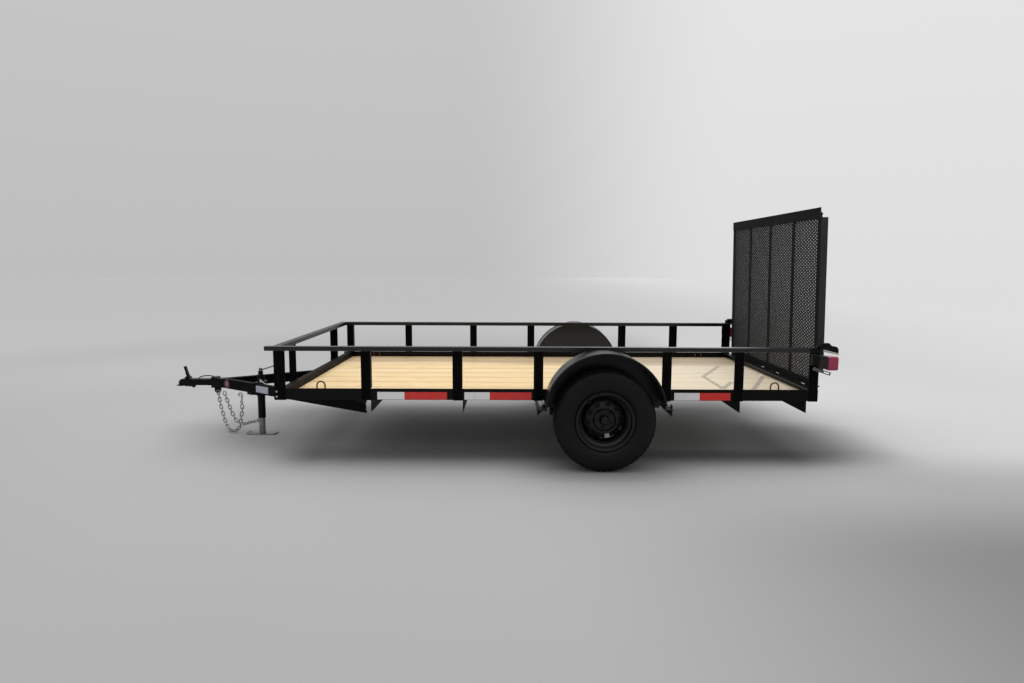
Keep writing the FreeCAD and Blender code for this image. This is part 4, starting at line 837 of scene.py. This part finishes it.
g = Geo()
box_lo, box_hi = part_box("blank_plate") if "blank_plate" in CAD else (Vector((-1.689, -0.355, 0.348)), Vector((-1.565, -0.268, 0.4)))
for fx in (0.06, 0.94):
    for z in (0.3525, 0.3955):
        x = box_lo.x + (box_hi.x - box_lo.x) * fx
        s = (x - APEX) / math.cos(BEAM)
        g.button(on_beam(s, z, 0.0016), outL, 0.0034, 0.0018)
g.make("plate_rivets", "chassis", M_ZINC, "zinc_steel")

# bracket welds and beam welds
g = Geo()
for side in (-1, 1):
    d = Vector((math.cos(BEAM), side * math.sin(BEAM), 0))
    o = Vector((-math.sin(BEAM), side * math.cos(BEAM), 0))
    base = Vector((APEX, 0, 0))
    s0 = 0.045 / math.cos(BEAM) + 0.0006
    g.weld(base + d * s0 + o * 0.0006 + Vector((0, 0, 0.340)), base + d * s0 + o * 0.0006 + Vector((0, 0, 0.411)), 0.0034)
    for x in (-1.3105, -1.2690):
        s = (x - APEX) / math.cos(BEAM)
        q = base + d * s + Vector((0, 0, 0.4125))
        g.weld(q - o * 0.004, q - o * 0.034, 0.0028)
g.weld((-2.1345, -0.030, 0.3550), (-2.1345, -0.030, 0.4110), 0.0030)
g.weld((-2.1345, 0.030, 0.3550), (-2.1345, 0.030, 0.4110), 0.0030)
g.weld((-2.1345, -0.028, 0.4130), (-2.1345, 0.028, 0.4130), 0.0030)
g.make("tongue_welds", "chassis", M_PAINT, "black_paint", smooth=60)

# coupler: under-lip clamp, adjuster nut, pivot bolts and bent lock bar on top
g = Geo()
g.tube([(-2.352, 0.0, 0.3545), (-2.350, 0.0, 0.3490), (-2.344, 0.0, 0.3460), (-2.338, 0.0, 0.3490), (-2.336, 0.0, 0.3545)], 0.0055, 10)
g.tube([(-2.327, 0.0, 0.3545), (-2.324, 0.0, 0.3470), (-2.318, 0.0, 0.3450), (-2.312, 0.0, 0.3470), (-2.309, 0.0, 0.3545)], 0.0050, 10)
g.hexagon((-2.289, 0.0, 0.3555), (0, 0, -1), 0.0165, 0.0155, 0.4)
g.lathe([(0.0, -0.004), (0.0062, -0.004), (0.0062, 0.004), (0, 0.006)], 14, Matrix.Translation((-2.289, 0, 0.3375)))
g.make("coupler_underparts", "chassis", M_PAINT, "black_paint")
g = Geo()
arch = [(-2.240, -0.012, 0.4105), (-2.236, -0.012, 0.4160), (-2.222, -0.012, 0.4250), (-2.200, -0.012, 0.4305), (-2.175, -0.012, 0.4330),
        (-2.150, -0.012, 0.4330), (-2.134, -0.012, 0.4310), (-2.122, -0.012, 0.4275), (-2.119, -0.012, 0.4240)]
g.tube(arch, 0.0042, 10)
g.make("coupler_lock_bar", "chassis", M_PAINT, "black_paint")
g = Geo()
for x, z in ((-2.250, 0.383), (-2.175, 0.383)):
    for s in (-1, 1):
        g.hexagon((x, s * 0.0345, z), (0, s, 0), 0.0085, 0.0060, 0.2)
g.make("coupler_bolts", "chassis", M_PAINT, "black_paint")

# bolts at the bed's front corners
g = Geo()
for s in (-1, 1):
    for z in (0.4860, 0.4520):
        g.hexagon((-1.2880, -0.9828 if s < 0 else 0.9780, z), (0, s, 0), 0.0070, 0.0050, rnd.uniform(0, 1))
g.make("corner_bolts", "chassis", M_ZINC, "zinc_steel")

# ---------------------------------------------------------------- running gear hardware
g = Geo()
for s in (-1, 1):
    yc = s * 0.880
    for u in (-1, 1):
        for t in (-1, 1):
            x, y = WHEEL_X + u * 0.0362, yc + t * 0.029
            zb = 0.3315 - 0.0302 - 0.044
            g.hexagon((x, y, zb), (0, 0, -1), 0.0105, 0.0100, rnd.uniform(0, 1))
    g.hexagon((WHEEL_X, yc, 0.3315 - 0.0302 - 0.0442), (0, 0, -1), 0.0085, 0.008, 0.3)
    for e in (-1, 1):
        x = WHEEL_X + e * 0.3205
        for q in (-1, 1):
            g.hexagon((x, yc + q * 0.0303, 0.3403), (0, q, 0), 0.0125, 0.0095, rnd.uniform(0, 1))
    # clips round the leaves
    for e in (-1, 1):
        x = WHEEL_X + e * 0.190
        dz = 1.240 - math.sqrt(1.240 ** 2 - 0.190 ** 2)
        z0 = 0.3315 - 0.0302 - 0.008 - 0.0215 + dz
        g.box((x - 0.010, yc - 0.0252, z0 - 0.003), (x + 0.010, yc - 0.0226, z0 + 0.027))
        g.box((x - 0.010, yc + 0.0226, z0 - 0.003), (x + 0.010, yc + 0.0252, z0 + 0.027))
        g.box((x - 0.010, yc - 0.0252, z0 - 0.0055), (x + 0.010, yc + 0.0252, z0 - 0.003))
        g.box((x - 0.010, yc - 0.0252, z0 + 0.027), (x + 0.010, yc + 0.0252, z0 + 0.0295))
g.make("suspension_fasteners", "chassis", M_SATIN, "black_paint")

# ---------------------------------------------------------------- tail lights
for s in (-1, 1):
    g = Geo()
    y0, y1 = sorted((s * 0.9853, s * 1.0760))
    g.box((2.3262, y0 + 0.001, 0.6520), (2.3990, y1 - 0.001, 0.7430))
    name = "left" if s < 0 else "right"
    lens_ob = g.make(name + "_lens_shell", "chassis", M_LENS, "red_lens", smooth=60, bevel=0.012, segments=6)
    g = Geo()
    for k in range(9):
        y = y0 + 0.018 + k * (y1 - y0 - 0.036) / 8
        g.tube([(2.3986, y, 0.669), (2.3998, y, 0.674), (2.3998, y, 0.721), (2.3986, y, 0.726)], 0.0022, 8)
    g.make(name + "_lens_flutes", "chassis", M_LENS, "red_lens")
    g = Geo()
    for z in (0.667, 0.728):
        g.button((2.3988, (y0 + y1) / 2, z), (1, 0, 0), 0.0036, 0.0022)
    g.make(name + "_lens_screws", "chassis", M_ZINC, "zinc_steel")
    if s > 0:
        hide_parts("tail_light_lenses")

# ---------------------------------------------------------------- painted light: lighter bluish-grey sheets on the inner faces of the fenders, tinted to cancel the brown light bounced from the deck
M_FENDER_INNER_TINT = plastic("fender_inner_tint_grey", (0.0205, 0.0222, 0.0258), (0.0290, 0.0312, 0.0356), 0.75)
for s in (-1, 1):
    n = 48
    ring = [(WHEEL_X + 0.3855 * math.cos(math.pi * k / n), 0.386 + 0.3855 * math.sin(math.pi * k / n)) for k in range(n + 1)]
    a, b = s * 0.9834, s * 0.9839
    vs = [(x, a, z) for x, z in ring] + [(x, b, z) for x, z in ring]
    m = n + 1
    fs = [tuple(range(m)), tuple(range(2 * m - 1, m - 1, -1))] + [(k, m + k, m + (k + 1) % m, (k + 1) % m) for k in range(m)]
    if s < 0:
        fs = [tuple(reversed(f)) for f in fs]
    g = Geo()
    g.add(vs, fs)
    g.make(("left" if s < 0 else "right") + "_fender_inner_tint", "chassis", M_FENDER_INNER_TINT, "black_paint")

# ---------------------------------------------------------------- floor, world, light
me = bpy.data.meshes.new("studio_floor")
R, K = 60.0, 96
vs = [(0, 0, 0)]
fs = []
for ring, rr in enumerate((3, 6, 10, 16, 26, 60)):
    for k in range(K):
        vs.append((rr * math.cos(2 * math.pi * k / K), rr * math.sin(2 * math.pi * k / K), 0))
for k in range(K):
    fs.append((0, 1 + k, 1 + (k + 1) % K))
for ring in range(5):
    for k in range(K):
        a, b = 1 + ring * K, 1 + (ring + 1) * K
        fs.append((a + k, b + k, b + (k + 1) % K, a + (k + 1) % K))
me.from_pydata(vs, [], fs)
floor = bpy.data.objects.new("studio_floor", me)
scene.collection.objects.link(floor)
m, nt, bs = new_mat("floor_paint", Metallic=0.0, Specular_IOR_Level=0.15)
tc = N(nt, "TexCoord").outputs["Object"]
dist = N(nt, "VectorMath", {0: tc}, operation="LENGTH").outputs["Value"]
xyz = N(nt, "SeparateXYZ", {0: tc})
fx, fy = xyz.outputs[0], xyz.outputs[1]
# painted light: the floor is painted lighter with distance, and lighter still far off towards +X
far = mr(nt, dist, 3.0, 10.0, 0.0, 1.0, True)
col = mixc(nt, noise(nt, tc, 0.7, 3), (0.445, 0.445, 0.445), (0.465, 0.465, 0.465))
right = mr(nt, fx, -2.0, 12.0, 0.0, 1.0, True)
distant = mixc(nt, right, (0.665, 0.665, 0.665), (0.935, 0.935, 0.935))
col = mixc(nt, far, col, distant)
# painted light and shade: the floor is painted lighter behind and to the right, and painted darker in the corner
# nearest the viewer's right
painted_light_patch = mt(nt, "MULTIPLY", mr(nt, fx, 2.2, 3.2, 0.0, 1.0, True), mr(nt, fy, -1.5, -0.5, 0.0, 1.0, True))
col = mixc(nt, painted_light_patch, col, mixc(nt, mr(nt, dist, 3.0, 9.0, 0.0, 1.0, True), (0.710, 0.710, 0.710), distant))
painted_shade_corner = mt(nt, "MULTIPLY", mr(nt, fx, 0.4, 2.8, 0.0, 1.0, True), mr(nt, fy, -1.3, -2.6, 0.0, 1.0, True))
reach = mt(nt, "MULTIPLY", mr(nt, fx, 4.2, 6.5, 1.0, 0.0, True), mr(nt, fy, -5.6, -3.6, 0.0, 1.0, True))
painted_shade_corner = mt(nt, "MULTIPLY", painted_shade_corner, reach)
col = mixc(nt, painted_shade_corner, col, (0.25, 0.25, 0.25))
# painted shadow: the floor is painted darker under the bed, the nose, the tail and round the near wheel
def window(v, lo0, lo1, hi0, hi1):
    return mt(nt, "MULTIPLY", mr(nt, v, lo0, lo1, 0.0, 1.0, True), mr(nt, v, hi1, hi0, 0.0, 1.0, True))


bed = mt(nt, "MULTIPLY", window(fx, -1.45, -1.05, 2.20, 2.75), window(fy, -1.18, -0.72, 1.0, 1.5))
rim = mt(nt, "MULTIPLY", mr(nt, fy, -0.80, -0.35, 1.0, 0.0, True), mr(nt, fx, 0.4, 1.5, 0.50, 0.80, True))
mid = mr(nt, fx, 0.9, 1.8, 0.08, 0.42, True)
bed = mt(nt, "MULTIPLY", bed, mt(nt, "MAXIMUM", rim, mid))
nose = mt(nt, "MULTIPLY", window(fx, -2.60, -1.45, -1.20, -0.90), window(fy, -1.25, -0.25, 0.6, 1.3))
tail = mt(nt, "MULTIPLY", window(fx, 1.80, 2.25, 2.45, 3.25), window(fy, -1.15, -0.65, -0.1, 0.5))
foot = mt(nt, "MULTIPLY", window(fx, 0.126, 0.876, 0.876, 1.626), window(fy, -1.50, -1.15, -1.10, -0.90))
# painted shadow: each mask darkens the floor towards near-black
for mask, depth in ((bed, 1.0), (nose, 0.50), (tail, 0.62), (foot, 0.42)):
    col = mixc(nt, mt(nt, "MULTIPLY", mask, depth), col, (0.05, 0.05, 0.05))
plug(nt, bs.inputs["Base Color"], col)
plug(nt, bs.inputs["Roughness"], mr(nt, noise(nt, tc, 40, 3), 0.3, 0.7, 0.72, 0.80))
bump(nt, bs, [(noise(nt, tc, 300, 2), 0.03, 0.0005)])
me.materials.append(m)

world = bpy.data.worlds.new("studio_world")
scene.world = world
world.use_nodes = True
wt = world.node_tree
wt.nodes.clear()
wo = wt.nodes.new("ShaderNodeOutputWorld")
bg = wt.nodes.new("ShaderNodeBackground")
wt.links.new(bg.outputs[0], wo.inputs[0])
direction = N(wt, "TexCoord").outputs["Generated"]
dxyz = N(wt, "SeparateXYZ", {0: direction})
# brighter to the right and behind, dimmer in front
lr = mr(wt, dxyz.outputs[0], -0.08, 0.30, 0.515, 0.735, True)
lr = mt(wt, "ADD", lr, mr(wt, dxyz.outputs[2], 0.0, 0.35, 0.0, 0.05))
fb = mr(wt, dxyz.outputs[1], -0.7, 0.4, 0.62, 1.0, True)
band = mt(wt, "MULTIPLY", lr, fb)
high = mr(wt, dxyz.outputs[2], 0.40, 0.62, 0.0, 1.0, True)
sky = mt(wt, "ADD", mt(wt, "MULTIPLY", band, mt(wt, "SUBTRACT", 1.0, high)), mt(wt, "MULTIPLY", high, 0.86))
plug(wt, bg.inputs["Color"], (1.0, 1.0, 1.0))
plug(wt, bg.inputs["Strength"], sky)


def area(name, at, to, sx, sy, power, colour=(1, 1, 1)):
    d = bpy.data.lights.new(name, "AREA")
    d.shape = "RECTANGLE"
    d.size, d.size_y = sx, sy
    d.energy = power
    d.color = colour
    o = bpy.data.objects.new(name, d)
    scene.collection.objects.link(o)
    o.matrix_world = Matrix.Translation(at) @ basis(Vector(at) - Vector(to), (0, 1, 0))
    return o


area("soft_top", (0.3, 0.2, 4.6), (0.3, 0.0, 0.0), 6.0, 4.5, 110)
area("soft_side", (-4.5, 3.5, 3.2), (0.0, 0.0, 0.5), 2.5, 1.6, 26)
